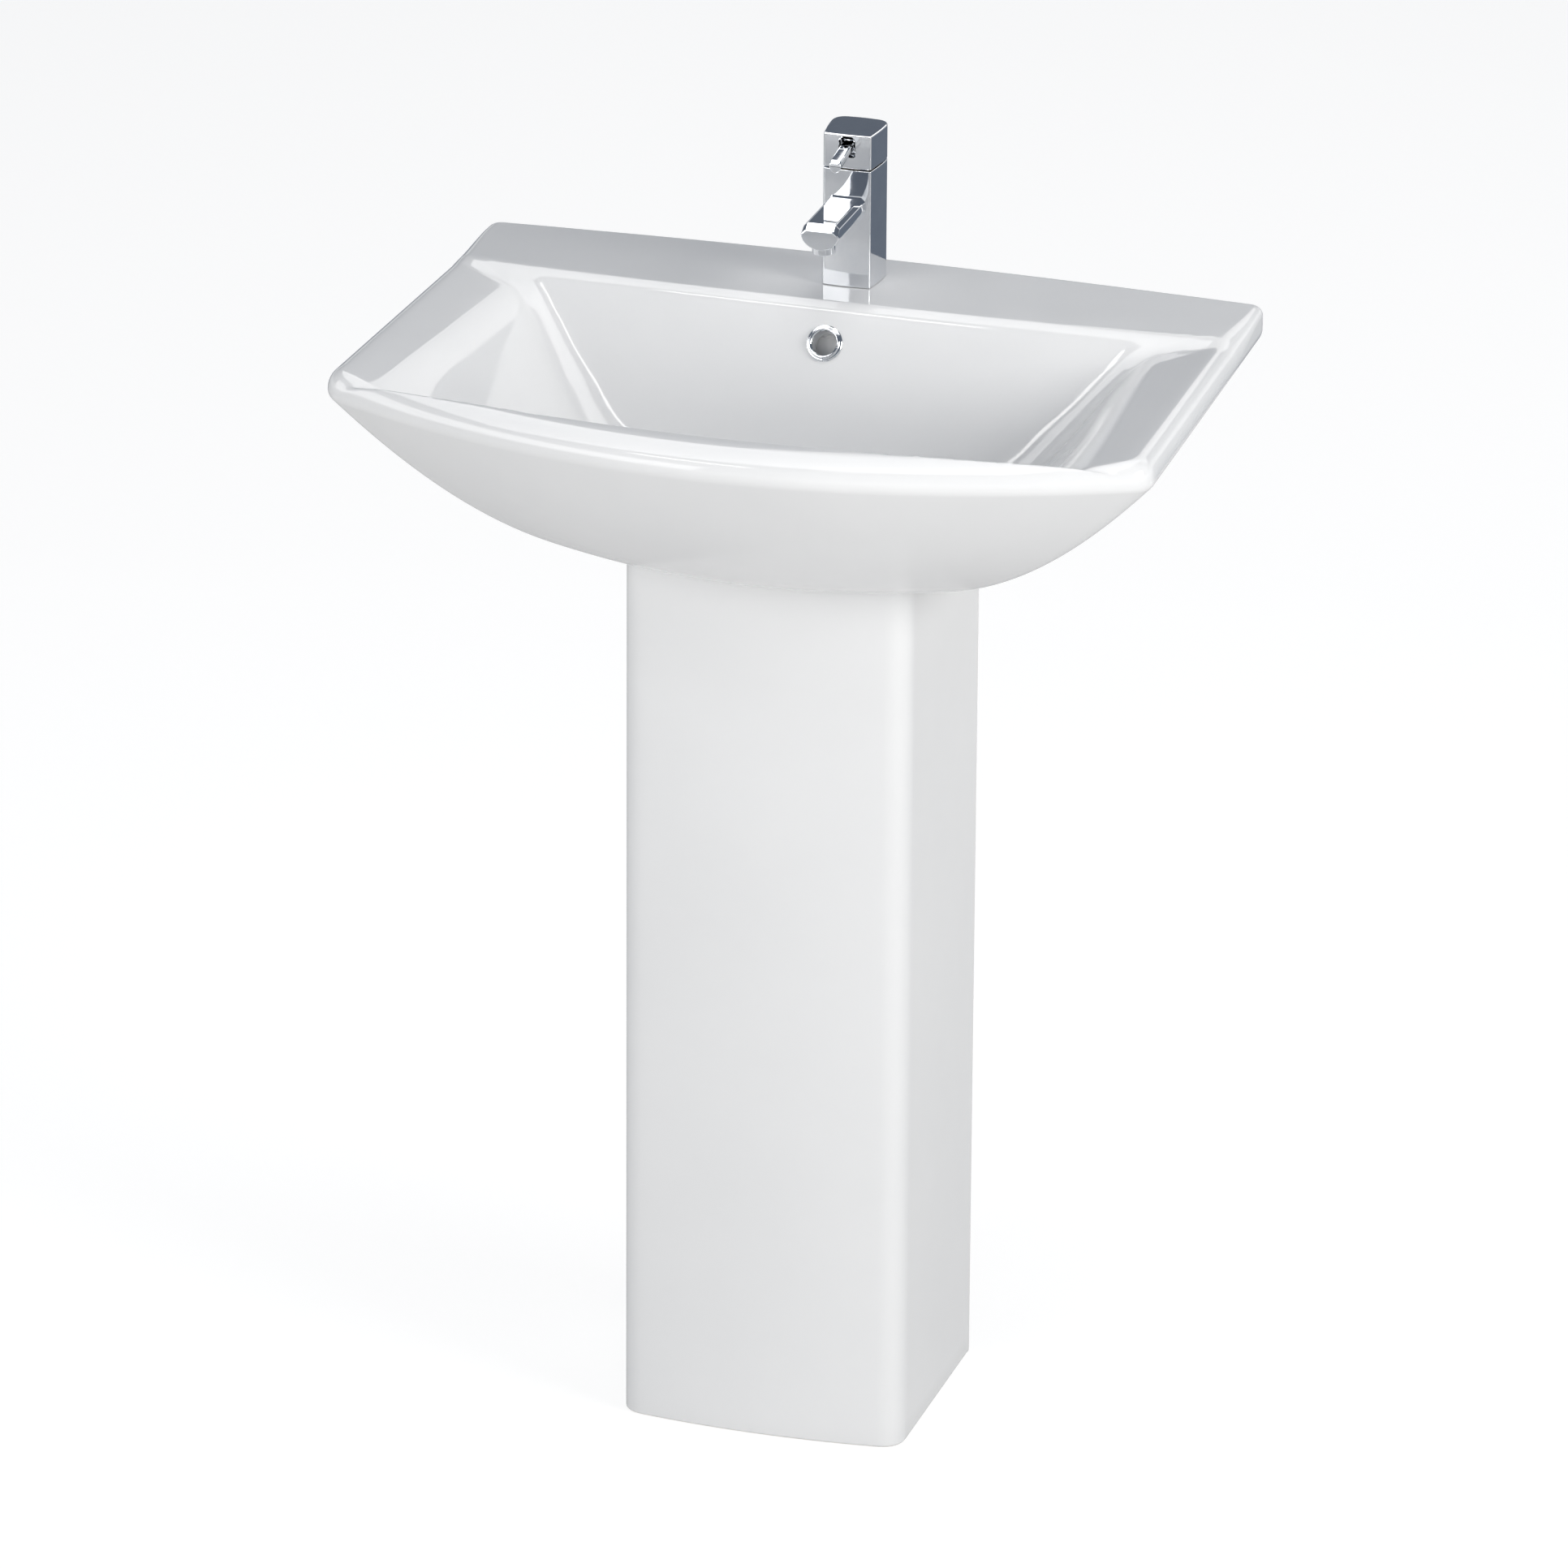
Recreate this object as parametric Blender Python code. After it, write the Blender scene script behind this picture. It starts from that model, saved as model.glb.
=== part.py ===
"""Wash basin on a pedestal, with a single-lever mixer tap, click-clack waste and bottle trap.

Metres, +Z up. The front faces -Y and the wall is the plane at y = DEPTH / 2. The floor is z = 0.
"""

import math

import bpy
import numpy as np

# Basin
WIDTH = 0.600
BACK_WIDTH = 0.580
DEPTH = 0.425
CORNER_Y = -0.124  # where the straight sides meet the bowed front
BOW = 0.0885
RIM_Z = 0.812
CROWN = 0.0045  # how far the rim drops from the middle to the sides
RIM_BAND = 0.020
RIM_ROUND = 0.007
BELLY_DROP = 0.149  # rim to the flat underside
BELLY_INWARD = 0.91
BELLY_ROUND = 1.83
BASE_HALF_FRONT = 0.125
BASE_HALF_BACK = 0.160
BASE_FRONT_Y = -0.058
BASE_BOW = 0.030
WALL_Y = DEPTH / 2
SHELL = 0.012
FLOOR_DROP = 0.124
DECK_EDGE_Y = 0.1079
RISER = 0.0045
BACK_SLOPE = 1.73
CREASE_X = 0.2285
SHOULDER_X = 0.290
SHOULDER_SLOPE = 0.19
FRONT_EDGE_Y = -0.181
OPEN_HALF = 0.088
OPEN_FRONT_Y = -0.043
OPEN_BACK_Y = 0.185
WASTE_Y = -0.005
WASTE_HOLE = 0.0225
SEAT_RADIUS = 0.033
SEAT_DROP = 0.1265
BOSS_RADIUS = 0.034
BOSS_DROP = 0.163
TAP_Y = 0.1615
TAP_HOLE = 0.0175
OVERFLOW_Y = 0.0912
OVERFLOW_RADIUS = 0.010
WALL_FIXING_X = 0.140
WALL_FIXING_DROP = 0.075

# Pedestal
PED_HALF = 0.1056
PED_FRONT_Y = -0.0496
PED_BOW = 0.008
PED_BACK_Y = 0.127
PED_WALL = 0.012
PED_CORNER = 0.017

# Tap, heights above the deck
TAP_FRONT_Y = 0.1415
TAP_BACK_Y = 0.1815
TAP_HALF_FRONT = 0.0175
TAP_BULGE = 0.003
TAP_PARTING = 0.0880
CAP_BOTTOM = 0.0892
CAP_TOP = 0.1142
SPOUT_TIP_Y = 0.0760
SPOUT_Z = 0.0583
SPOUT_HALF_W = 0.0138
SPOUT_HALF_H = 0.0093
AERATOR_Y = 0.0870
PIVOT = 0.0900
LEVER_TIP_Y = 0.1120
LEVER_HALF = 0.0044

# Supply tails
TAIL_X = 0.0075
TAIL_Y = 0.1655
TAIL_SPREAD_X = 0.028
TAIL_RADIUS = 0.0050
TAIL_END = -0.305

# Trap, heights from the rim
OUTLET_DROP = 0.250

GAP = 0.0003


# Outlines in plan

def bezier(a, b, c, count):
    """Points from a towards c, rounding the corner b, without c itself."""
    t = np.arange(count) / count
    t = t[:, None]
    return (1 - t) ** 2 * a + 2 * t * (1 - t) * b + t ** 2 * c


def basin_outline(half_front, half_back, corner_y, bow, front_round, back_round, counts):
    """Closed outline anticlockwise from the front left, bowed at the front, straight at the back."""
    n_front, n_side, n_back, n_corner = counts

    def front(x):
        return corner_y - bow * (1 - (x / half_front) ** 2)

    def side(y):
        share = (y - corner_y) / (WALL_Y - corner_y)
        return half_front + (half_back - half_front) * share

    xf = half_front - front_round
    xs = np.linspace(-xf, xf, n_front + 1)
    low = corner_y + front_round
    high = WALL_Y - back_round
    rows = [np.c_[xs, front(xs)][:-1]]
    corner = np.array([half_front, corner_y])
    rows.append(bezier(np.array([xf, front(xf)]), corner, np.array([side(low), low]), n_corner))
    ys = np.linspace(low, high, n_side + 1)
    right = np.c_[side(ys), ys]
    rows.append(right[:-1])
    corner = np.array([half_back, WALL_Y])
    rows.append(bezier(right[-1], corner, corner - [back_round, 0], n_corner))
    xb = half_back - back_round
    xs = np.linspace(xb, -xb, n_back + 1)
    rows.append(np.c_[xs, np.full(len(xs), WALL_Y)][:-1])
    corner = np.array([-half_back, WALL_Y])
    left_top = np.array([-side(high), high])
    rows.append(bezier(corner + [back_round, 0], corner, left_top, n_corner))
    rows.append(np.c_[-side(ys), ys][::-1][:-1])
    corner = np.array([-half_front, corner_y])
    rows.append(bezier(np.array([-side(low), low]), corner, np.array([-xf, front(xf)]), n_corner))
    return np.vstack(rows)


def rect_outline(half, y_low, y_high, rounding, n_side, n_corner):
    """Closed rounded rectangle, anticlockwise from the front left."""
    h, r = half, rounding
    corners = [(-h, y_high), (-h, y_low), (h, y_low), (h, y_high)]
    rows = []
    for i in range(4):
        before, here, after = (np.array(corners[j % 4], float) for j in (i - 1, i, i + 1))
        start = here + (before - here) / np.linalg.norm(before - here) * r
        end = here + (after - here) / np.linalg.norm(after - here) * r
        leave = after + (here - after) / np.linalg.norm(here - after) * r
        rows.append(bezier(start, here, end, n_corner))
        share = np.arange(n_side)[:, None] / n_side
        rows.append(end + (leave - end) * share)
    return np.vstack(rows)


def outward_normals(points):
    step = np.roll(points, -1, 0) - np.roll(points, 1, 0)
    normal = np.c_[step[:, 1], -step[:, 0]]
    return normal / np.linalg.norm(normal, axis=1)[:, None]


def ray_lengths(points, angles):
    """Distance from the waste to a closed outline along each angle."""
    offset = points - [0, WASTE_Y]
    a = np.arctan2(offset[:, 1], offset[:, 0])
    order = np.argsort(a)
    a = a[order]
    ring = offset[order]
    first = np.searchsorted(a, angles) % len(a)
    second = (first - 1) % len(a)
    p, q = ring[second], ring[first]
    direction = np.c_[np.cos(angles), np.sin(angles)]
    edge = q - p
    cross = direction[:, 0] * edge[:, 1] - direction[:, 1] * edge[:, 0]
    return (p[:, 0] * edge[:, 1] - p[:, 1] * edge[:, 0]) / cross


# Basin surfaces, as heights below the rim

def smooth_min(a, b, k):
    h = np.clip(k - np.abs(a - b), 0, None) / k
    return np.minimum(a, b) - h * h * k / 4


def smooth_max(a, b, k):
    return -smooth_min(-a, -b, k)


def bowl_height(x, y):
    """Top surface: flat deck, riser, back wall, tilted shoulders, side walls, front wall and floor."""
    ax = np.abs(x)
    run = DECK_EDGE_Y + 0.20 * x * x - y
    back = smooth_min(-run, -RISER - BACK_SLOPE * (run - RISER), 0.0014)
    back = smooth_min(0 * x, back, 0.004)
    crease = CREASE_X + 0.0145 * np.clip(0.098 - y, -0.02, 0.25) / 0.18
    shoulder = smooth_min(0 * x, SHOULDER_SLOPE * (ax - SHOULDER_X), 0.003)
    start = SHOULDER_SLOPE * (crease - SHOULDER_X)
    inward = crease - ax
    steep = start - 1.25 * inward
    share = np.clip((y + 0.13) / 0.21, 0, 1)
    gentle = start - 0.012 - 0.040 * share * share * (3 - 2 * share) - 0.62 * inward
    side = smooth_min(shoulder, smooth_max(steep, gentle, 0.03), 0.016)
    inward = y - (FRONT_EDGE_Y + 0.6 * x * x)
    front = smooth_max(-3.0 * inward, -0.040 - 1.1 * inward, 0.03)
    front = smooth_min(0 * x, front, 0.006)
    z = back
    inner = np.clip((0.242 - ax) / 0.024, 0, 1)
    round_off = 0.0012 + 0.017 * inner * inner * (3 - 2 * inner)
    z = smooth_max(z, side, round_off + np.clip(-0.3 * np.maximum(z, side), 0, 0.022))
    z = smooth_max(z, front, np.clip(-0.6 * np.maximum(z, front), 0.0012, 0.050))
    floor = -FLOOR_DROP + 0.035 * np.hypot(x, y - WASTE_Y)
    z = np.minimum(smooth_max(z, floor, 0.03), 0)
    return z - CROWN * (x / (WIDTH / 2)) ** 2


def belly_outlines(counts):
    rim = basin_outline(WIDTH / 2, BACK_WIDTH / 2, CORNER_Y, BOW, 0.012, 0.010, counts)
    base = basin_outline(BASE_HALF_FRONT, BASE_HALF_BACK, BASE_FRONT_Y + BASE_BOW, BASE_BOW,
                         0.030, 0.012, (60, 40, 60, 12))
    return rim, base


def belly_profile(t):
    """Share of the way in from rim to base, and share of the way down, along the belly."""
    a = t * math.pi / 2
    return (1 - math.cos(a)) ** BELLY_INWARD, math.sin(a) ** BELLY_ROUND


def belly_height(x, y):
    """Outer underside of the basin at a point in plan."""
    rim, base = belly_outlines((80, 40, 60, 8))
    angle = np.array([math.atan2(y - WASTE_Y, x)])
    far, near = ray_lengths(rim, angle)[0], ray_lengths(base, angle)[0]
    r = math.hypot(x, y - WASTE_Y)
    if r <= near + 1e-6 or far - near < 1e-4:
        return -BELLY_DROP
    s = min(1.0, (far - r) / (far - near))
    down = math.sin(math.acos(max(0.0, 1 - s ** (1 / BELLY_INWARD)))) ** BELLY_ROUND
    return -RIM_BAND - CROWN * (x / 0.3) ** 2 * (1 - down) - (BELLY_DROP - RIM_BAND) * down


# Mesh building

def material(name, colour, metallic, roughness):
    made = bpy.data.materials.new(name)
    made.use_nodes = True
    shader = made.node_tree.nodes["Principled BSDF"]
    shader.inputs["Base Color"].default_value = (*colour, 1)
    shader.inputs["Metallic"].default_value = metallic
    shader.inputs["Roughness"].default_value = roughness
    made.diffuse_color = (*colour, 1)
    return made


FINISHES = {
    "ceramic": ((0.86, 0.87, 0.88), 0.0, 0.08),
    "chrome": ((0.80, 0.82, 0.85), 1.0, 0.06),
    "brass": ((0.72, 0.53, 0.24), 1.0, 0.28),
    "copper": ((0.72, 0.38, 0.24), 1.0, 0.25),
    "steel": ((0.62, 0.63, 0.65), 1.0, 0.30),
    "rubber": ((0.035, 0.035, 0.04), 0.0, 0.65),
    "white_plastic": ((0.82, 0.83, 0.83), 0.0, 0.35),
    "grey_plastic": ((0.30, 0.32, 0.35), 0.0, 0.45),
    "disc": ((0.90, 0.90, 0.86), 0.0, 0.20),
}


def add(name, verts, faces, finish, origin=(0, 0, 0), sharp=32):
    """One named object with its own material, faces turned outwards, origin where given."""
    origin = np.array(origin, float)
    verts = np.array(verts, float) - origin
    volume = 0.0
    for face in faces:
        a = verts[face[0]]
        for i in range(1, len(face) - 1):
            volume += np.dot(a, np.cross(verts[face[i]], verts[face[i + 1]]))
    if volume < 0:
        faces = [tuple(reversed(face)) for face in faces]
    mesh = bpy.data.meshes.new(name)
    mesh.from_pydata([tuple(v) for v in verts], [], [tuple(int(i) for i in f) for f in faces])
    mesh.polygons.foreach_set("use_smooth", [True] * len(mesh.polygons))
    mesh.set_sharp_from_angle(angle=math.radians(sharp))
    mesh.update()
    made = bpy.data.objects.new(name, mesh)
    made.location = tuple(origin)
    bpy.context.scene.collection.objects.link(made)
    if finish:
        made.data.materials.append(material(name, *FINISHES[finish]))
    return made


def loft_faces(rings, count, closed):
    faces = []
    last = rings if closed else rings - 1
    for j in range(last):
        a, b = j * count, (j + 1) % rings * count
        for i in range(count):
            k = (i + 1) % count
            faces.append((a + i, a + k, b + k, b + i))
    return faces


def loft(name, rings, finish, closed=False, origin=(0, 0, 0), sharp=32):
    """Skin through equal rings: closed round on itself, or capped at both ends."""
    count = len(rings[0])
    verts = np.vstack(rings)
    faces = loft_faces(len(rings), count, closed)
    if not closed:
        faces.append(tuple(range(count - 1, -1, -1)))
        faces.append(tuple(range((len(rings) - 1) * count, len(rings) * count)))
    return add(name, verts, faces, finish, origin, sharp)


def turned(points, centre, axis):
    """Points made about +Z, moved to a centre and turned so that +Z points along the axis."""
    points = np.asarray(points, float)
    w = np.array(axis, float) / np.linalg.norm(axis)
    if abs(w[2]) > 0.999:
        u = np.array([1.0, 0.0, 0.0])
    else:
        u = np.cross([0, 0, 1.0], w)
        u = u / np.linalg.norm(u)
    v = np.cross(w, u)
    return np.array(centre) + points[:, :1] * u + points[:, 1:2] * v + points[:, 2:3] * w


def lathe(name, profile, finish, centre=(0, 0, 0), axis=(0, 0, 1), count=24, origin=None,
          hexagon=None, sharp=32):
    """Closed (radius, height) profile turned about an axis. Points at radius 0 close on the axis.

    hexagon gives the radii from which the outline is six-sided.
    """
    verts = []
    starts = []
    for radius, height in profile:
        starts.append(len(verts))
        if radius < 1e-7:
            verts.append((0, 0, height))
            continue
        for i in range(count):
            a = 2 * math.pi * i / count
            r = radius
            if hexagon and radius >= hexagon:
                sixth = (a % (math.pi / 3)) - math.pi / 6
                r = radius / math.cos(sixth)
            verts.append((r * math.cos(a), r * math.sin(a), height))
    faces = []
    total = len(profile)
    for j in range(total):
        k = (j + 1) % total
        a, b = starts[j], starts[k]
        flat_a, flat_b = profile[j][0] < 1e-7, profile[k][0] < 1e-7
        if flat_a and flat_b:
            continue
        for i in range(count):
            n = (i + 1) % count
            if flat_a:
                faces.append((a, b + i, b + n))
            elif flat_b:
                faces.append((a + n, a + i, b))
            else:
                faces.append((a + i, b + i, b + n, a + n))
    verts = turned(verts, centre, axis)
    return add(name, verts, faces, finish, centre if origin is None else origin, sharp)


def tube_rings(path, radius, count, start_x=None):
    """Rings square to a path that bends only gently."""
    path = np.asarray(path, float)
    step = np.gradient(path, axis=0)
    step /= np.linalg.norm(step, axis=1)[:, None]
    u = np.array(start_x if start_x is not None else (1.0, 0, 0))
    rings = []
    for point, w in zip(path, step):
        u = u - w * np.dot(u, w)
        u /= np.linalg.norm(u)
        v = np.cross(w, u)
        a = 2 * math.pi * np.arange(count) / count
        rings.append(point + radius * (np.outer(np.cos(a), u) + np.outer(np.sin(a), v)))
    return rings


def pipe(name, path, outer, inner, finish, count=20):
    out = tube_rings(path, outer, count)
    back = tube_rings(path, inner, count)[::-1]
    return loft(name, out + back, finish, closed=True)


def cylinder(name, centre, axis, radius, length, count=24):
    """Cutter, starting at the centre and running along the axis."""
    profile = [(0, 0), (radius, 0), (radius, length), (0, length)]
    return lathe(name, profile, None, centre, axis, count)


def box(name, low, high):
    x0, y0, z0 = low
    x1, y1, z1 = high
    bottom = [(x0, y0, z0), (x1, y0, z0), (x1, y1, z0), (x0, y1, z0)]
    top = [(x, y, z1) for x, y, _ in bottom]
    return loft(name, [bottom, top], None)


def combine(target, tool, operation):
    """Boolean with a hidden tool."""
    tool.hide_render = True
    tool.display_type = "WIRE"
    modifier = target.modifiers.new(tool.name, "BOOLEAN")
    modifier.operation = operation
    modifier.solver = "EXACT"
    modifier.object = tool


def cut(target, *tools):
    for tool in tools:
        combine(target, tool, "DIFFERENCE")


def join(target, *tools):
    for tool in tools:
        combine(target, tool, "UNION")


# Basin

def ball_envelope(radii, heights, reach, upper):
    """Surface a given distance off a profile, as the envelope of balls rolled along it."""
    gap = radii[:, None] - radii[None, :]
    thick = reach[None, :]
    lift = np.sqrt(np.clip(thick ** 2 - gap ** 2, 0, None))
    near = np.abs(gap) <= thick
    if upper:
        return np.where(near, heights[None, :] + lift, -np.inf).max(axis=1)
    return np.where(near, heights[None, :] - lift, np.inf).min(axis=1)


def rim_rounding(rim, normals, direction):
    """Width along the ray and depth of the rounded edge: broad in front, less at the sides, tight at the back."""
    share = np.clip((WALL_Y - 0.012 - rim[:, 1]) / 0.07, 0, 1)
    share = share * share * (3 - 2 * share)
    middle = np.clip((0.292 - np.abs(rim[:, 0])) / 0.085, 0, 1)
    middle = middle * middle * (3 - 2 * middle) * np.clip(-normals[:, 1], 0, 1) ** 2
    wide = RIM_ROUND + share * (0.006 + 0.011 * middle)
    return wide / np.clip((normals * direction).sum(axis=1), 0.7, 1), RIM_ROUND + share * 0.009


def basin_rings(counts, wall_steps, rim_steps, belly_steps, cavity_steps, roof_steps):
    """Rings round the whole skin: bowl, rim, belly, foot opening, hollow underside and waste hole."""
    rim, base = belly_outlines(counts)
    normals = outward_normals(rim)
    offset = rim - [0, WASTE_Y]
    angles = np.arctan2(offset[:, 1], offset[:, 0])
    far = np.hypot(offset[:, 0], offset[:, 1])
    direction = offset / far[:, None]
    near = ray_lengths(base, angles)
    back = np.abs(rim[:, 1] - WALL_Y) < 1e-9
    near = np.where(back, np.minimum(near, far), near)
    foot = ray_lengths(rect_outline(OPEN_HALF, OPEN_FRONT_Y, OPEN_BACK_Y, 0.022, 12, 8), angles)

    def ring(radius, height):
        plan = np.array([0, WASTE_Y]) + direction * np.broadcast_to(radius, far.shape)[:, None]
        z = height(plan[:, 0], plan[:, 1]) if callable(height) else height
        return np.c_[plan, np.broadcast_to(z, far.shape) + RIM_Z]

    # Where the bowl starts, on each ray
    edge_y = DECK_EDGE_Y
    mouth = []
    for i in range(len(far)):
        r = np.linspace(0.05, far[i] - 0.0085, 400)
        x = r * direction[i, 0]
        y = WASTE_Y + r * direction[i, 1]
        inside = (y < edge_y - 0.004) & (np.abs(x) < CREASE_X + 0.008)
        inside &= y > FRONT_EDGE_Y + 0.6 * x * x
        mouth.append(r[inside].max() if inside.any() else 0.1)
    mouth = np.array(mouth)
    wide, deep = rim_rounding(rim, normals, direction)
    rim_inner = far - wide - 0.001

    rings = [ring(WASTE_HOLE, -BOSS_DROP), ring(WASTE_HOLE, -SEAT_DROP)]
    rings.append(ring(SEAT_RADIUS, -SEAT_DROP))
    rings.append(ring(SEAT_RADIUS + 0.0012, bowl_height))
    for share in wall_steps:
        rings.append(ring(SEAT_RADIUS + 0.001 + (mouth - SEAT_RADIUS - 0.001) * share, bowl_height))
    for share in rim_steps:
        rings.append(ring(mouth + (rim_inner - mouth) * share, bowl_height))
    for turn in (18, 36, 54, 72, 90):
        a = math.radians(turn)
        fall = deep * (1 - math.cos(a))
        rings.append(ring(far - wide * (1 - math.sin(a)), lambda x, y, d=fall: bowl_height(x, y) - d))
    for t in belly_steps:
        s, down = belly_profile(t)
        radius = far * (1 - s) + near * s
        x = radius * direction[:, 0]
        z = -RIM_BAND - CROWN * (x / 0.3) ** 2 * (1 - down) - (BELLY_DROP - RIM_BAND) * down
        rings.append(ring(radius, z))
    rings.append(ring(foot, -BELLY_DROP))

    # Hollow underside
    roof_at, floor_at, most = [], [], []
    for i in range(len(far)):
        r = np.arange(0.02, far[i] + 1e-9, 0.001)
        x = r * direction[i, 0]
        y = WASTE_Y + r * direction[i, 1]
        slant = 1 / max(0.6, float(np.dot(normals[i], direction[i])))
        rib = np.clip((0.034 - np.abs(x)) / 0.010, 0, 1) * np.clip((y - 0.018) / 0.01, 0, 1)
        rib = rib * np.clip((0.108 - y) / 0.012, 0, 1)
        roof = ball_envelope(r, bowl_height(x, y), SHELL + 0.018 * rib, False)
        t = np.linspace(0, math.pi / 2, 200)
        s = (1 - np.cos(t)) ** BELLY_INWARD
        down = np.sin(t) ** BELLY_ROUND
        line_r = (far[i] * (1 - s) + near[i] * s)[::-1]
        line_z = (-RIM_BAND - (BELLY_DROP - RIM_BAND) * down)[::-1]
        line_r = line_r + np.arange(len(line_r)) * 1e-9
        outer = np.interp(r, line_r, line_z, left=-BELLY_DROP)
        outer = np.where(r < near[i] - 1e-4, -BELLY_DROP, outer)
        floor = ball_envelope(r, outer, np.full(len(r), SHELL * 0.92), True)
        floor = np.where(r > far[i] - SHELL * slant, 1.0, floor)
        clear = roof - floor > 0.009
        ok = (r <= foot[i] + 0.004) | clear
        stop = np.argmin(ok) if not ok.all() else len(r)
        most.append(max(r[stop - 1], foot[i] + 0.004))
        roof_at.append((r, roof))
        floor_at.append((r, np.minimum(floor, roof - 0.008)))
    most = np.array(most)
    smooth = most
    for _ in range(2):
        smooth = np.minimum(most, (np.roll(smooth, 1) + smooth + np.roll(smooth, -1)) / 3)
    most = smooth

    def under(share, table):
        radius = foot + (most - foot) * share
        z = np.array([np.interp(radius[i], *table[i]) for i in range(len(far))])
        return ring(radius, z)

    for share in cavity_steps:
        rings.append(under(share, floor_at))
    for share in reversed(cavity_steps):
        rings.append(under(share, roof_at))
    boss = np.full(len(far), BOSS_RADIUS)
    for share in roof_steps:
        radius = boss + 0.002 + (foot - boss - 0.002) * share
        z = np.array([np.interp(radius[i], *roof_at[i]) for i in range(len(far))])
        rings.append(ring(radius, z))
    rings.append(ring(boss, -BOSS_DROP))
    return rings


def overflow_frame():
    """Centre of the overflow on the back wall, and the direction it faces."""
    y = OVERFLOW_Y
    step = 1e-4
    z = float(bowl_height(np.array([0.0]), np.array([y]))[0])
    rise = float(bowl_height(np.array([0.0]), np.array([y + step]))[0]) - z
    normal = np.array([0, -rise / step, 1.0])
    return np.array([0, y, RIM_Z + z]), normal / np.linalg.norm(normal)


def overflow_channel(centre, normal):
    """Duct behind the back wall, from the overflow down into the side of the waste hole."""
    path = [centre - normal * 0.0165 + np.array([0, 0.0045, 0.0065])]
    for y in (0.088, 0.078, 0.068, 0.058, 0.050):
        z = float(bowl_height(np.array([0.0]), np.array([y]))[0])
        rise = (float(bowl_height(np.array([0.0]), np.array([y + 1e-4]))[0]) - z) / 1e-4
        n = np.array([0, -rise, 1.0])
        n /= np.linalg.norm(n)
        path.append(np.array([0, y, RIM_Z + z]) - n * 0.0160)
    path.append(np.array([0, 0.041, RIM_Z - 0.1340]))
    path.append(np.array([0, 0.026, RIM_Z - 0.1400]))
    path.append(np.array([0, 0.006, RIM_Z - 0.1430]))
    path = np.array(path)
    step = np.gradient(path, axis=0)
    rings = []
    for point, w in zip(path, step):
        w = w / np.linalg.norm(w)
        v = np.cross(w, [1.0, 0, 0])
        corners = ((-1, -1), (1, -1), (1, 1), (-1, 1))
        rings.append([point + 0.011 * a * np.array([1.0, 0, 0]) + 0.0038 * b * v for a, b in corners])
    return loft("channel_cutter", rings, None)


def build_basin():
    rings = basin_rings((20, 9, 18, 3), (0.10, 0.28, 0.46, 0.62, 0.76, 0.88, 0.96),
                        (0.0, 0.06, 0.14, 0.3, 0.65, 1.0), (0, 0.14, 0.28, 0.42, 0.56, 0.70, 0.85, 1),
                        (0.0, 0.35, 0.70, 1.0), (0.88, 0.68, 0.56, 0.44, 0.30, 0.15, 0.0))
    basin = loft("basin", rings, "ceramic", closed=True, sharp=40)
    centre, normal = overflow_frame()
    deck = RIM_Z + 0.01
    cut(
        basin,
        cylinder("tap_hole_cutter", (0, TAP_Y, deck), (0, 0, -1), TAP_HOLE, 0.05, 36),
        cylinder("overflow_cutter", centre + normal * 0.01, -normal, OVERFLOW_RADIUS, 0.030, 24),
        overflow_channel(centre, normal),
    )
    for side, name in ((-1, "left"), (1, "right")):
        at = (side * WALL_FIXING_X, WALL_Y - 0.030, RIM_Z - WALL_FIXING_DROP)
        cut(basin, cylinder(f"{name}_fixing_cutter", at, (0, 1, 0), 0.007, 0.05, 20))
    return basin


def build_overflow_ring():
    centre, normal = overflow_frame()
    sleeve = OVERFLOW_RADIUS - GAP
    hole = 0.0088
    profile = [(hole, -0.008), (sleeve, -0.008), (sleeve, GAP), (0.0133, GAP), (0.0133, 0.0012),
               (0.0125, 0.0020), (0.0114, 0.0022), (0.0107, 0.0032), (0.0098, 0.0032), (hole, 0.0022)]
    lathe("overflow_ring", profile, "chrome", tuple(centre), tuple(normal), 32)


def build_wall_sleeves():
    for side, name in ((-1, "left"), (1, "right")):
        at = (side * WALL_FIXING_X, WALL_Y - GAP, RIM_Z - WALL_FIXING_DROP)
        profile = [(0.0052, 0), (0.0067, 0), (0.0067, 0.0130), (0.0120, 0.0130), (0.0120, 0.0155),
                   (0.0052, 0.0155)]
        lathe(f"wall_sleeve_{name}", profile, "white_plastic", at, (0, -1, 0), 20)


# Pedestal

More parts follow.
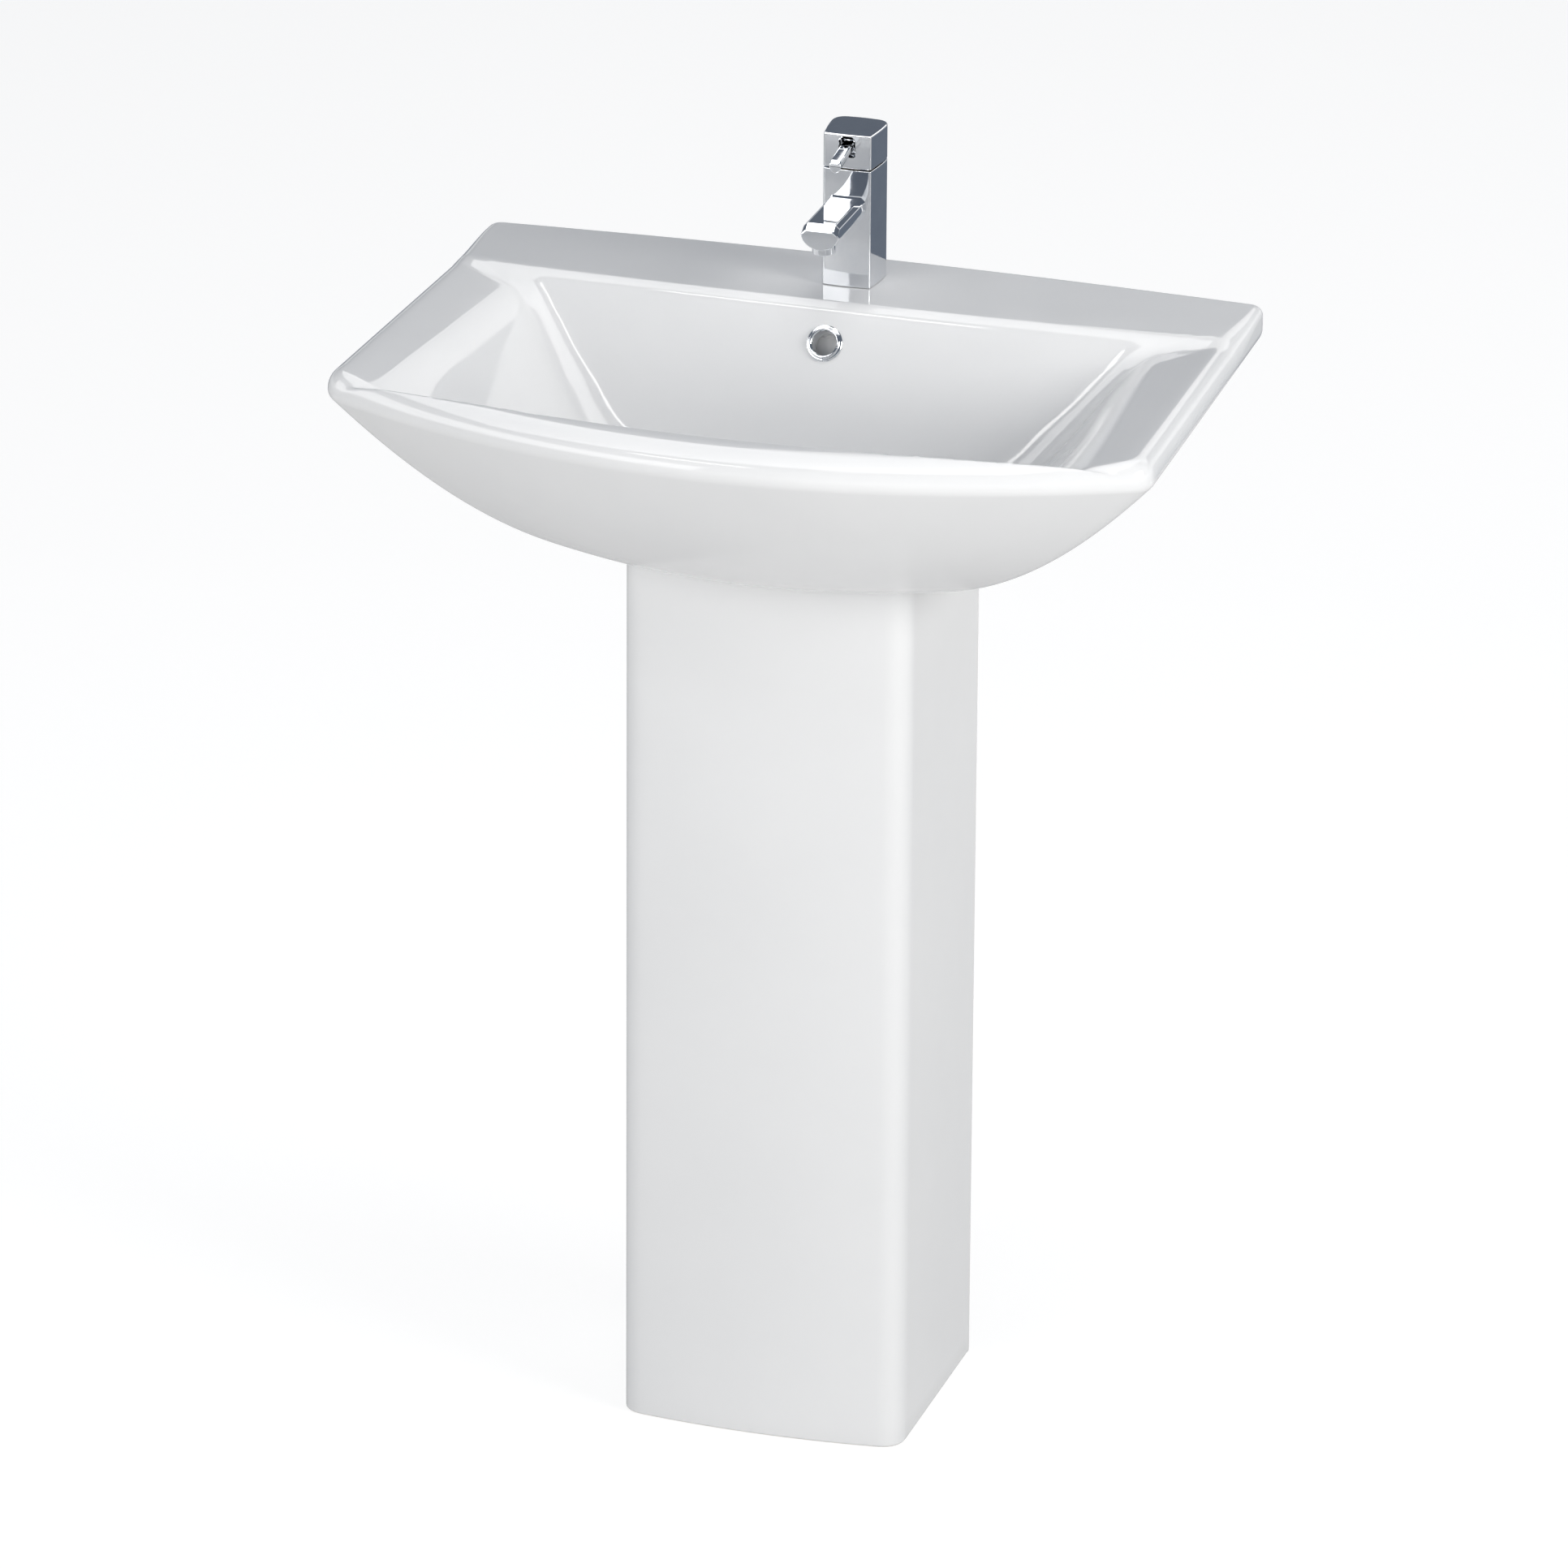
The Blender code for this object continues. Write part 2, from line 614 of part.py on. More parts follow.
def build_pedestal():
    half, r = PED_HALF, PED_CORNER

    def front(x):
        return PED_FRONT_Y - PED_BOW * (1 - (x / half) ** 2)

    def side_path():
        xs = np.linspace(0, half - r, 9)
        rows = [np.c_[xs, front(xs)]]
        rows.append(bezier(rows[0][-1], np.array([half, PED_FRONT_Y]), np.array([half, PED_FRONT_Y + r]),
                           6)[1:])
        ys = np.linspace(PED_FRONT_Y + r, PED_BACK_Y, 9)
        rows.append(np.c_[np.full(9, half), ys])
        return np.vstack(rows)

    right = side_path()
    outer = np.vstack([(right * [-1, 1])[::-1][:-1], right])
    step = np.gradient(outer, axis=0)
    normal = np.c_[step[:, 1], -step[:, 0]]
    normal /= np.linalg.norm(normal, axis=1)[:, None]
    inner = outer - normal * PED_WALL
    inner[0, 1] = inner[-1, 1] = PED_BACK_Y

    def top(points):
        rows = []
        for x, y in points:
            rest = belly_height(x, y)
            allowance = GAP if rest <= -BELLY_DROP + 1e-6 else 0.0012
            rows.append(RIM_Z + rest - allowance)
        return np.array(rows)

    count = len(outer)
    verts = np.vstack([np.c_[outer, np.zeros(count)], np.c_[outer, top(outer)],
                       np.c_[inner, top(inner)], np.c_[inner, np.zeros(count)]])
    faces = []
    for layer in range(4):
        a, b = layer * count, (layer + 1) % 4 * count
        for i in range(count - 1):
            faces.append((a + i, a + i + 1, b + i + 1, b + i))
    ends = [[layer * count + i for layer in range(4)] for i in (0, count - 1)]
    faces.append(tuple(ends[0]))
    faces.append(tuple(reversed(ends[1])))
    pedestal = add("pedestal", verts, faces, "ceramic", sharp=40)
    for side, name in ((-1, "left"), (1, "right")):
        low = (min(side * 0.064, side * 0.098), 0.072, 0.0)
        high = (max(side * 0.064, side * 0.098), 0.104, 0.015)
        join(pedestal, box(f"{name}_lug", low, high))
        hole = cylinder(f"{name}_lug_cutter", (side * 0.078, 0.088, -0.01), (0, 0, 1), 0.0035, 0.04, 16)
        cut(pedestal, hole)
    return pedestal


# Tap

def tap_plan(shrink=0.0, n_side=6, n_front=6):
    """Plan of the tap: bowed front with crisp corners, bulged sides and a rounded back."""
    half = TAP_HALF_FRONT
    length = TAP_BACK_Y - TAP_FRONT_Y
    xs = np.linspace(-half + 0.0015, half - 0.0015, n_front + 1)
    front = np.c_[xs, TAP_FRONT_Y - 0.0008 * (1 - (xs / half) ** 2)]
    right = []
    for share in np.linspace(0.03, 0.72, n_side + 1):
        x = half + TAP_BULGE * math.sin(math.pi * (0.10 + 0.62 * share) - 0.3)
        right.append((x, TAP_FRONT_Y + length * share))
    right = np.array(right)
    back = bezier(right[-1], np.array([right[-1][0] - 0.0003, TAP_BACK_Y]),
                  np.array([0.0085, TAP_BACK_Y]), 6)[1:]
    half_plan = np.vstack([right, back, [[0.0085, TAP_BACK_Y], [0.0035, TAP_BACK_Y + 0.0004]]])
    plan = np.vstack([front, half_plan, (half_plan * [-1, 1])[::-1]])
    if shrink:
        plan = plan - outward_normals(plan) * shrink
    return plan


def at_height(plan, z):
    return np.c_[plan, np.full(len(plan), z)]


def d_section(half_w, half_h, top_drop=0.0, shrink=0.0):
    """Flat-topped section with chamfered shoulders and a rounded underside, as (x, z) pairs."""
    w, h = half_w - shrink, half_h - shrink
    top = half_h - top_drop - shrink
    points = [(-0.74 * w, top), (-0.96 * w, top - 0.32 * h), (-w, 0.22 * h)]
    for i in range(1, 12):
        a = math.pi + math.pi * i / 12
        points.append((w * math.cos(a), 0.22 * h + 1.22 * h * math.sin(a)))
    points += [(w, 0.22 * h), (0.96 * w, top - 0.32 * h), (0.74 * w, top)]
    return points


def bar(name, stations, finish, origin=(0, 0, 0)):
    """D-section bar along Y. Each station is y, centre z, half width, half height, top drop, shrink."""
    rings = []
    for y, z, half_w, half_h, drop, shrink in stations:
        rings.append([(x, y, z + dz) for x, dz in d_section(half_w, half_h, drop, shrink)])
    return loft(name, rings, finish, origin=origin, sharp=28)


def build_tap_body():
    base = RIM_Z + 0.0004
    top = RIM_Z + TAP_PARTING
    rings = [at_height(tap_plan(0.0006), base), at_height(tap_plan(), base + 0.0006),
             at_height(tap_plan(), top - 0.0004), at_height(tap_plan(0.0004), top)]
    body = loft("tap_body", rings, "chrome", origin=(0, TAP_Y, RIM_Z), sharp=30)
    z = RIM_Z + SPOUT_Z
    w, h = SPOUT_HALF_W, SPOUT_HALF_H
    spout = bar("spout_tool", [
        (SPOUT_TIP_Y, z, w, h, 0.0042, 0.0008),
        (SPOUT_TIP_Y + 0.0007, z, w, h, 0.0036, 0.0),
        (SPOUT_TIP_Y + 0.0050, z, w, h, 0.0, 0.0),
        (TAP_FRONT_Y - 0.010, z, w, h, -0.0002, 0.0),
        (TAP_FRONT_Y - 0.002, z, w + 0.0004, h + 0.0006, 0.0, 0.0),
        (TAP_FRONT_Y + 0.004, z, w + 0.0012, h + 0.0016, 0.0, 0.0),
    ], None)
    join(body, spout)
    seat = [at_height(tap_plan(0.0009), RIM_Z + z) for z in (-0.001, 0.0018)]
    cut(
        body,
        loft("seal_seat_cutter", seat, None),
        cylinder("chamber_cutter", (0, TAP_Y, RIM_Z + 0.0460), (0, 0, 1), 0.0135, 0.06, 28),
        cylinder("spout_bore_cutter", (0, TAP_Y - 0.006, z), (0, -1, 0), 0.0042,
                 TAP_Y - 0.006 - AERATOR_Y, 16),
        cylinder("aerator_cutter", (0, AERATOR_Y, RIM_Z + 0.040), (0, 0, 1), 0.0086, 0.0225, 24),
        cylinder("stud_cutter", (0, TAP_Y - 0.010, RIM_Z - 0.001), (0, 0, 1), 0.0041, 0.018, 16),
    )
    for side, name in ((-1, "hot"), (1, "cold")):
        x = side * TAIL_X
        cut(body, cylinder(f"{name}_socket_cutter", (x, TAIL_Y, RIM_Z - 0.001), (0, 0, 1),
                           TAIL_RADIUS + GAP, 0.018, 20))
        cut(body, cylinder(f"{name}_port_cutter", (x * 0.8, TAIL_Y - 0.001, RIM_Z + 0.015), (0, 0, 1),
                           0.0028, 0.035, 12))


def build_tap_seal():
    outer = tap_plan(0.0013)
    inner = outer * 0
    centre = np.array([0, TAP_Y])
    for i, point in enumerate(outer):
        direction = (point - centre) / np.linalg.norm(point - centre)
        inner[i] = centre + direction * 0.0158
    low, high = RIM_Z + GAP, RIM_Z + 0.0015
    rings = [at_height(outer, low), at_height(outer, high), at_height(inner, high),
             at_height(inner, low)]
    loft("tap_base_seal", rings, "rubber", closed=True)


def build_aerator():
    centre = (0, AERATOR_Y, RIM_Z)
    profile = [(0.0071, 0.0440), (0.0079, 0.0440), (0.0083, 0.0445), (0.0083, 0.0530),
               (0.0073, 0.0530), (0.0073, 0.0452), (0.0071, 0.0450)]
    lathe("aerator_housing", profile, "chrome", centre, count=32)
    profile = [(0, 0.0462), (0.0020, 0.0462), (0.0020, 0.0456), (0.0036, 0.0456), (0.0036, 0.0462),
               (0.0052, 0.0462), (0.0052, 0.0456), (0.0069, 0.0456), (0.0069, 0.0520), (0, 0.0520)]
    lathe("aerator_insert", profile, "grey_plastic", centre, count=24)


def build_cartridge():
    centre = (0, TAP_Y, RIM_Z)
    profile = [(0.0131, 0.0490), (0.0131, 0.0515), (0.0118, 0.0515), (0.0118, 0.0775), (0.0131, 0.0775),
               (0.0131, 0.0817), (0.0092, 0.0817), (0.0092, 0.0945), (0.0058, 0.0945), (0.0058, 0.0831),
               (0.0100, 0.0801), (0.0100, 0.0545), (0.0105, 0.0545), (0.0105, 0.0490)]
    housing = lathe("cartridge_housing", profile, "grey_plastic", centre, count=28)
    window = (0, TAP_Y - 0.008, RIM_Z + 0.061)
    cut(housing, cylinder("window_cutter", window, (0, -1, 0), 0.0030, 0.006, 12))
    profile = [(0.0106, 0.0463), (0.0128, 0.0463), (0.0128, 0.0487), (0.0106, 0.0487)]
    lathe("cartridge_seal", profile, "rubber", centre, count=32)
    profile = [(0, 0.0465), (0.0102, 0.0465), (0.0102, 0.0530), (0, 0.0530)]
    fixed = lathe("fixed_disc", profile, "disc", centre, count=32)
    for x, y in ((-0.006, 0.003), (0.006, 0.003), (0, -0.0055)):
        cut(fixed, cylinder(f"port_{x}_{y}_cutter", (x, TAP_Y + y, RIM_Z + 0.040), (0, 0, 1), 0.0024, 0.02,
                            12))
    at = (0, TAP_Y + 0.002, RIM_Z)
    profile = [(0, 0.0533), (0.0058, 0.0533), (0.0058, 0.0570), (0, 0.0570)]
    moving = lathe("moving_disc", profile, "disc", at, count=28, origin=(0, TAP_Y, RIM_Z + 0.055))
    cut(moving, cylinder("foot_cutter", (0, TAP_Y, RIM_Z + 0.0548), (0, 0, 1), 0.0030, 0.01, 20))
    profile = [(0.0096, 0.0820), (0.0131, 0.0820), (0.0131, 0.0874), (0.0096, 0.0874)]
    nut = lathe("cartridge_nut", profile, "brass", centre, count=28)
    for side in (-1, 1):
        cut(nut, box(f"nut_slot_{side}", (side * 0.0115 - 0.0016, TAP_Y - 0.0016, RIM_Z + 0.0855),
                     (side * 0.0115 + 0.0016, TAP_Y + 0.0016, RIM_Z + 0.0890)))


def build_handle():
    pivot = (0, TAP_Y, RIM_Z + PIVOT)
    rings = [at_height(tap_plan(0.0004), RIM_Z + CAP_BOTTOM),
             at_height(tap_plan(), RIM_Z + CAP_BOTTOM + 0.0004),
             at_height(tap_plan(), RIM_Z + CAP_TOP - 0.0008),
             at_height(tap_plan(0.0008), RIM_Z + CAP_TOP)]
    cap = loft("tap_cap", rings, "chrome", origin=(0, TAP_Y, RIM_Z + CAP_BOTTOM), sharp=30)
    slot_low, slot_high, half = RIM_Z + 0.0980, RIM_Z + 0.1124, 0.0056
    y0, y1 = TAP_FRONT_Y - 0.004, TAP_Y - 0.010
    right = [(half, slot_low), (half, slot_high - 0.004), (half - 0.0012, slot_high - 0.0012),
             (half - 0.004, slot_high)]
    outline = right + [(-x, z) for x, z in reversed(right)]
    slot = loft("slot_cutter", [[(x, y, z) for x, z in outline] for y in (y0, y1)], None)
    cut(
        cap,
        cylinder("pocket_cutter", (0, TAP_Y, RIM_Z + 0.0915), (0, 0, 1), 0.0152, 0.0209, 28),
        cylinder("neck_cutter", (0, TAP_Y, RIM_Z + 0.0850), (0, 0, 1), 0.0096, 0.0075, 28),
        slot,
    )

    def lever_z(y):
        return RIM_Z + 0.1038 - 0.149 * (TAP_FRONT_Y - y)

    h = LEVER_HALF
    tip = LEVER_TIP_Y
    lever = bar("tap_lever", [
        (tip, lever_z(tip), h, h, 0.0016, 0.0004),
        (tip + 0.0004, lever_z(tip), h, h, 0.0013, 0.0),
        (tip + 0.0020, lever_z(tip + 0.002), h, h, 0.0, 0.0),
        (TAP_FRONT_Y, lever_z(TAP_FRONT_Y), h, h, 0.0, 0.0),
        (TAP_Y - 0.002, lever_z(TAP_FRONT_Y), h, h, 0.0, 0.0),
    ], "chrome", origin=pivot)
    hub = lathe("lever_hub", [(0, 0.0982), (0.0066, 0.0982), (0.0066, 0.1086), (0, 0.1086)], None,
                (0, TAP_Y, RIM_Z), count=24)
    shield = lathe("lever_shield", [(0, 0.0984), (0.0142, 0.0984), (0.0142, 0.1088), (0, 0.1088)], None,
                   (0, TAP_Y, RIM_Z), count=32)
    cut(shield, box("shield_cutter", (-0.02, TAP_Y - 0.0040, RIM_Z + 0.09),
                    (0.02, TAP_Y + 0.02, RIM_Z + 0.12)))
    join(lever, hub, shield)
    cut(
        lever,
        cylinder("stem_socket_cutter", (0, TAP_Y, RIM_Z + 0.0950), (0, 0, 1), 0.0038, 0.0115, 20),
        cylinder("screw_cutter", (0, TAP_Y + 0.0030, RIM_Z + 0.1020), (0, 1, 0), 0.0018, 0.0060, 14),
    )
    profile = [(0, 0), (0.0015, 0), (0.0015, 0.0026), (0.0008, 0.0026), (0.0008, 0.0012), (0, 0.0012)]
    lathe("lever_screw", profile, "steel", (0, TAP_Y + 0.0038, RIM_Z + 0.1020), (0, 1, 0), 12, origin=pivot)
    ball = 0.0054
    profile = [(0, 0.1060), (0.0035, 0.1060), (0.0035, 0.0938)]
    for turn in range(45, 136, 15):
        a = math.radians(turn)
        profile.append((ball * math.sin(a), PIVOT + ball * math.cos(a)))
    profile += [(0.0035, 0.0855), (0.0026, 0.0620), (0.0026, 0.0585), (0.0018, 0.0562), (0, 0.0558)]
    lathe("cartridge_stem", profile, "steel", (0, TAP_Y, RIM_Z), count=24, origin=pivot)


def build_tap_fixing():
    y = TAP_Y - 0.010
    lathe("tap_stud", [(0, -0.072), (0.0034, -0.072), (0.0038, -0.0712), (0.0038, 0.0150), (0, 0.0150)],
          "steel", (0, y, RIM_Z), count=16)
    lathe("stud_nut", [(0.0041, -0.0270), (0.0065, -0.0270), (0.0065, -0.0190), (0.0041, -0.0190)], "brass",
          (0, y, RIM_Z), count=24, hexagon=0.006)
    for name, finish, low, high, radius in (("stud_seal", "rubber", -0.0163, -0.0133, 0.0235),
                                            ("stud_washer", "steel", -0.0186, -0.0166, 0.0240)):
        profile = [(0, low), (radius, low), (radius, high), (0, high)]
        washer = lathe(name, profile, finish, (0, TAP_Y - 0.001, RIM_Z), count=28)
        cut(
            washer,
            box(f"{name}_gap", (-0.0140, TAP_Y - 0.0048, RIM_Z - 0.03), (0.0140, TAP_Y + 0.04, RIM_Z)),
            cylinder(f"{name}_hole", (0, y, RIM_Z - 0.03), (0, 0, 1), 0.0042, 0.03, 16),
        )


def build_tails():
    for side, name in ((-1, "hot"), (1, "cold")):
        path = []
        for z in (0.0150, -0.020, -0.045):
            path.append((side * TAIL_X, TAIL_Y, RIM_Z + z))
        for share in np.linspace(0.1, 0.9, 7):
            ease = 3 * share ** 2 - 2 * share ** 3
            x = TAIL_X + (TAIL_SPREAD_X - TAIL_X) * ease
            path.append((side * x, TAIL_Y, RIM_Z - 0.045 - 0.075 * share))
        for z in (-0.120, -0.145, -0.220, TAIL_END):
            path.append((side * TAIL_SPREAD_X, TAIL_Y, RIM_Z + z))
        pipe(f"{name}_tail", path, TAIL_RADIUS, 0.0042, "copper", 12)
        profile = [(0.0053, -0.2990), (0.0105, -0.2990), (0.0110, -0.2980), (0.0110, -0.2840),
                   (0.0105, -0.2830), (0.0053, -0.2830)]
        lathe(f"{name}_tail_nut", profile, "brass", (side * TAIL_SPREAD_X, TAIL_Y, RIM_Z), count=24,
              hexagon=0.010)


# Waste

def build_waste():
    centre = (0, WASTE_Y, RIM_Z)
    profile = [(0.0200, -0.2150), (0.0200, -0.1250), (0.0218, -0.1239), (0.0315, -0.1239),
               (0.0315, -0.1222), (0.0300, -0.1209), (0.0270, -0.1211), (0.0185, -0.1250),
               (0.0170, -0.1300), (0.0170, -0.2150)]
    body = lathe("waste_body", profile, "chrome", centre, count=32)
    bar_low, bar_high = RIM_Z - 0.1650, RIM_Z - 0.1600
    join(body, box("waste_bar", (-0.0182, WASTE_Y - 0.003, bar_low), (0.0182, WASTE_Y + 0.003, bar_high)))
    hub = lathe("waste_hub", [(0, -0.1650), (0.0075, -0.1650), (0.0075, -0.1600), (0, -0.1600)], None, centre,
                count=24)
    join(body, hub)
    cut(
        body,
        cylinder("hub_cutter", (0, WASTE_Y, RIM_Z - 0.18), (0, 0, 1), 0.0050, 0.03, 24),
        box("slot_tool", (-0.0080, WASTE_Y - 0.03, RIM_Z - 0.1480),
            (0.0080, WASTE_Y + 0.03, RIM_Z - 0.1385)),
    )
    lathe("waste_top_seal", [(0.0235, -0.1262), (0.0310, -0.1262), (0.0310, -0.1242), (0.0235, -0.1242)],
          "rubber", centre, count=28)
    lathe("waste_bottom_seal", [(0.0203, -0.1683), (0.0300, -0.1683), (0.0300, -0.1650), (0.0285, -0.1633),
                                (0.0203, -0.1633)], "rubber", centre, count=28)
    lathe("waste_nut", [(0.0203, -0.1786), (0.0280, -0.1786), (0.0280, -0.1686), (0.0203, -0.1686)],
          "brass", centre, count=28, hexagon=0.027)
    lathe("plug_guide", [(0.0026, -0.1720), (0.0047, -0.1720), (0.0047, -0.1597), (0.0072, -0.1597),
                         (0.0072, -0.1567), (0.0026, -0.1567)], "brass", centre, count=24)


def build_plug():
    centre = (0, WASTE_Y, RIM_Z)
    profile = [(0, -0.1050), (0.0150, -0.1053), (0.0260, -0.1063), (0.0305, -0.1075), (0.0315, -0.1086),
               (0.0310, -0.1095), (0.0293, -0.1095), (0.0293, -0.1080), (0.0237, -0.1080), (0.0237, -0.1120),
               (0.0220, -0.1120), (0.0200, -0.1090), (0.0060, -0.1090), (0.0060, -0.1180), (0.0028, -0.1180),
               (0.0028, -0.1075), (0, -0.1075)]
    lathe("plug_cap", profile, "chrome", centre, count=32)
    lathe("plug_seal", [(0.0240, -0.1119), (0.0290, -0.1119), (0.0290, -0.1083), (0.0240, -0.1083)],
          "rubber", centre, count=28)
    profile = [(0, -0.1840), (0.0019, -0.1840), (0.0025, -0.1830), (0.0025, -0.1350), (0.0060, -0.1350),
               (0.0060, -0.1325), (0.0025, -0.1325), (0.0025, -0.1078), (0, -0.1078)]
    lathe("plug_stem", profile, "brass", centre, count=24)
    turns, steps = 5, 12
    low, high = -0.1567 + GAP + 0.0006, -0.1350 - GAP - 0.0006
    path = []
    for i in range(turns * steps + 1):
        a = 2 * math.pi * i / steps
        share = i / (turns * steps)
        z = RIM_Z + low + (high - low) * share
        path.append((0.0045 * math.cos(a), WASTE_Y + 0.0045 * math.sin(a), z))
    foot = (0, WASTE_Y, RIM_Z - 0.1567)
    loft("plug_spring", tube_rings(path, 0.0005, 5, (0, 0, 1.0)), "steel", origin=foot)


# Bottle trap

def build_trap():
    centre = (0, WASTE_Y, RIM_Z)
    out_at = (0, 0, RIM_Z - OUTLET_DROP)
    lathe("trap_inlet_nut", [(0.0170, -0.2239), (0.0262, -0.2239), (0.0270, -0.2225), (0.0270, -0.2045),
                             (0.0260, -0.2030), (0.0203, -0.2030), (0.0203, -0.2209), (0.0170, -0.2209)],
          "white_plastic", centre, count=28, hexagon=0.025)
    lathe("trap_inlet_washer", [(0.0142, -0.2173), (0.0197, -0.2173), (0.0197, -0.2153), (0.0142, -0.2153)],
          "rubber", centre, count=32)
    profile = [(0.0197, -0.2176), (0.0197, -0.2206), (0.0166, -0.2206), (0.0166, -0.2290), (0.0210, -0.2315),
               (0.0270, -0.2345), (0.0298, -0.2380), (0.0300, -0.2420), (0.0300, -0.2900), (0.0272, -0.2900),
               (0.0272, -0.2420), (0.0245, -0.2375), (0.0140, -0.2325), (0.0140, -0.2176)]
    trap = lathe("trap_body", profile, "white_plastic", centre, count=32)
    join(trap, cylinder("outlet_tool", (0, WASTE_Y + 0.0205, RIM_Z - OUTLET_DROP), (0, 1, 0), 0.0190,
                        0.080 - WASTE_Y - 0.0205, 24))
    cut(trap, cylinder("outlet_cutter", (0, WASTE_Y + 0.0150, RIM_Z - OUTLET_DROP), (0, 1, 0), 0.0165, 0.09,
                       24))
    lathe("dip_tube", [(0.0120, -0.3350), (0.0137, -0.3350), (0.0137, -0.2180), (0.0120, -0.2180)],
          "white_plastic", centre, count=28)
    profile = [(0.0340, -0.2720), (0.0340, -0.3440), (0.0320, -0.3530), (0.0265, -0.3595), (0.0160, -0.3635),
               (0, -0.3645), (0, -0.3615), (0.0150, -0.3600), (0.0230, -0.3560), (0.0264, -0.3510),
               (0.0274, -0.3440), (0.0274, -0.2936), (0.0303, -0.2936), (0.0303, -0.2720)]
    lathe("trap_cup", profile, "white_plastic", centre, count=32)
    lathe("cup_seal", [(0.0276, -0.2933), (0.0299, -0.2933), (0.0299, -0.2903), (0.0276, -0.2903)], "rubber",
          centre, count=28)
    along = (0, 1, 0)
    lathe("waste_pipe", [(0.0143, 0.0620), (0.0160, 0.0620), (0.0160, WALL_Y), (0.0143, WALL_Y)],
          "white_plastic", out_at, along, 24)
    lathe("trap_outlet_washer", [(0.0163, 0.0803), (0.0188, 0.0803), (0.0188, 0.0833), (0.0163, 0.0833)],
          "rubber", out_at, along, 24)
    lathe("trap_outlet_nut", [(0.0193, 0.0680), (0.0245, 0.0680), (0.0250, 0.0690), (0.0250, 0.0855),
                              (0.0240, 0.0866), (0.0163, 0.0866), (0.0163, 0.0836), (0.0193, 0.0836)],
          "white_plastic", out_at, along, 24, hexagon=0.0235)


def main():
    for old in list(bpy.data.objects):
        bpy.data.objects.remove(old, do_unlink=True)
    build_basin()
    build_overflow_ring()
    build_wall_sleeves()
    build_pedestal()
    build_tap_body()
    build_tap_seal()
    build_aerator()
    build_cartridge()
    build_handle()
    build_tap_fixing()
    build_tails()
    build_waste()
    build_plug()
    build_trap()


main()
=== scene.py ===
"""Looks of the pedestal sink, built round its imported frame. Metres, +Z up, the wall on the +Y side."""

import math

import bpy
import numpy as np
from mathutils import Matrix, Vector


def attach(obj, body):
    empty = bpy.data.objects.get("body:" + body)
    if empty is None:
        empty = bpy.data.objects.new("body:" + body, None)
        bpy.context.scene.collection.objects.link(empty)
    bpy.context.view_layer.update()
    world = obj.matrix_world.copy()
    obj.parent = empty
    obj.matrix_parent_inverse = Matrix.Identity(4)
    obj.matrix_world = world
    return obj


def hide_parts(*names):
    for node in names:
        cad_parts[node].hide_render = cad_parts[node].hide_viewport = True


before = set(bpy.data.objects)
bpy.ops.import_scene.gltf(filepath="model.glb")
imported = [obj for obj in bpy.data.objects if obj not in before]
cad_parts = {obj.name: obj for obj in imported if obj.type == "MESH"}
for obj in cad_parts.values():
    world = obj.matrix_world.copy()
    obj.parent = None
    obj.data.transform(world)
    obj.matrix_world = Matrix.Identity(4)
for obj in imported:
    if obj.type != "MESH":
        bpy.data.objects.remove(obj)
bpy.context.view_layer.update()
scene = bpy.context.scene

# Driving sizes, the same as the CAD model's

WIDTH = 0.600
BACK_WIDTH = 0.580
WALL_Y = 0.2125
CORNER_Y = -0.124
BOW = 0.0885
RIM_Z = 0.812
CROWN = 0.0045
RIM_BAND = 0.020
RIM_ROUND = 0.007
BELLY_DROP = 0.149
BELLY_INWARD = 0.91
BELLY_ROUND = 1.83
BASE_HALF_FRONT = 0.125
BASE_HALF_BACK = 0.160
BASE_FRONT_Y = -0.058
BASE_BOW = 0.030
SHELL = 0.012
FLOOR_DROP = 0.124
DECK_EDGE_Y = 0.1079
RISER = 0.0045
BACK_SLOPE = 1.73
CREASE_X = 0.2285
SHOULDER_X = 0.290
SHOULDER_SLOPE = 0.19
FRONT_EDGE_Y = -0.181
OPEN_HALF = 0.088
OPEN_FRONT_Y = -0.043
OPEN_BACK_Y = 0.185
WASTE_Y = -0.005
WASTE_HOLE = 0.0225
SEAT_RADIUS = 0.033
SEAT_DROP = 0.1265
BOSS_RADIUS = 0.034
BOSS_DROP = 0.163
OVERFLOW_Y = 0.0912
OVERFLOW_RADIUS = 0.010
WALL_FIXING_X = 0.140
WALL_FIXING_DROP = 0.075
PED_HALF = 0.1056
PED_FRONT_Y = -0.0496
PED_BOW = 0.008
PED_BACK_Y = 0.127
PED_WALL = 0.012
PED_CORNER = 0.017
TAP_Y = 0.1615
TAP_HOLE = 0.0175
TAP_FRONT_Y = 0.1415
TAP_BACK_Y = 0.1815
TAP_HALF_FRONT = 0.0175
TAP_BULGE = 0.003
TAP_PARTING = 0.0880
CAP_BOTTOM = 0.0892
CAP_TOP = 0.1142
SPOUT_TIP_Y = 0.0760
SPOUT_Z = 0.0583
SPOUT_HALF_W = 0.0138
SPOUT_HALF_H = 0.0093
AERATOR_Y = 0.0870
LEVER_TIP_Y = 0.1120
LEVER_HALF = 0.0044
TAIL_X = 0.0075
TAIL_Y = 0.1655
TAIL_SPREAD_X = 0.028
TAIL_RADIUS = 0.0050
TAIL_END = -0.305
OUTLET_DROP = 0.250
LUG_INNER_X = 0.064
LUG_OUTER_X = 0.098
LUG_FRONT_Y = 0.072
LUG_BACK_Y = 0.104
LUG_TOP = 0.015
LUG_HOLE = (0.078, 0.088)
LUG_HOLE_RADIUS = 0.0035
GAP = 0.0003

# Camera: azimuth, elevation and roll in degrees, lens in millimetres

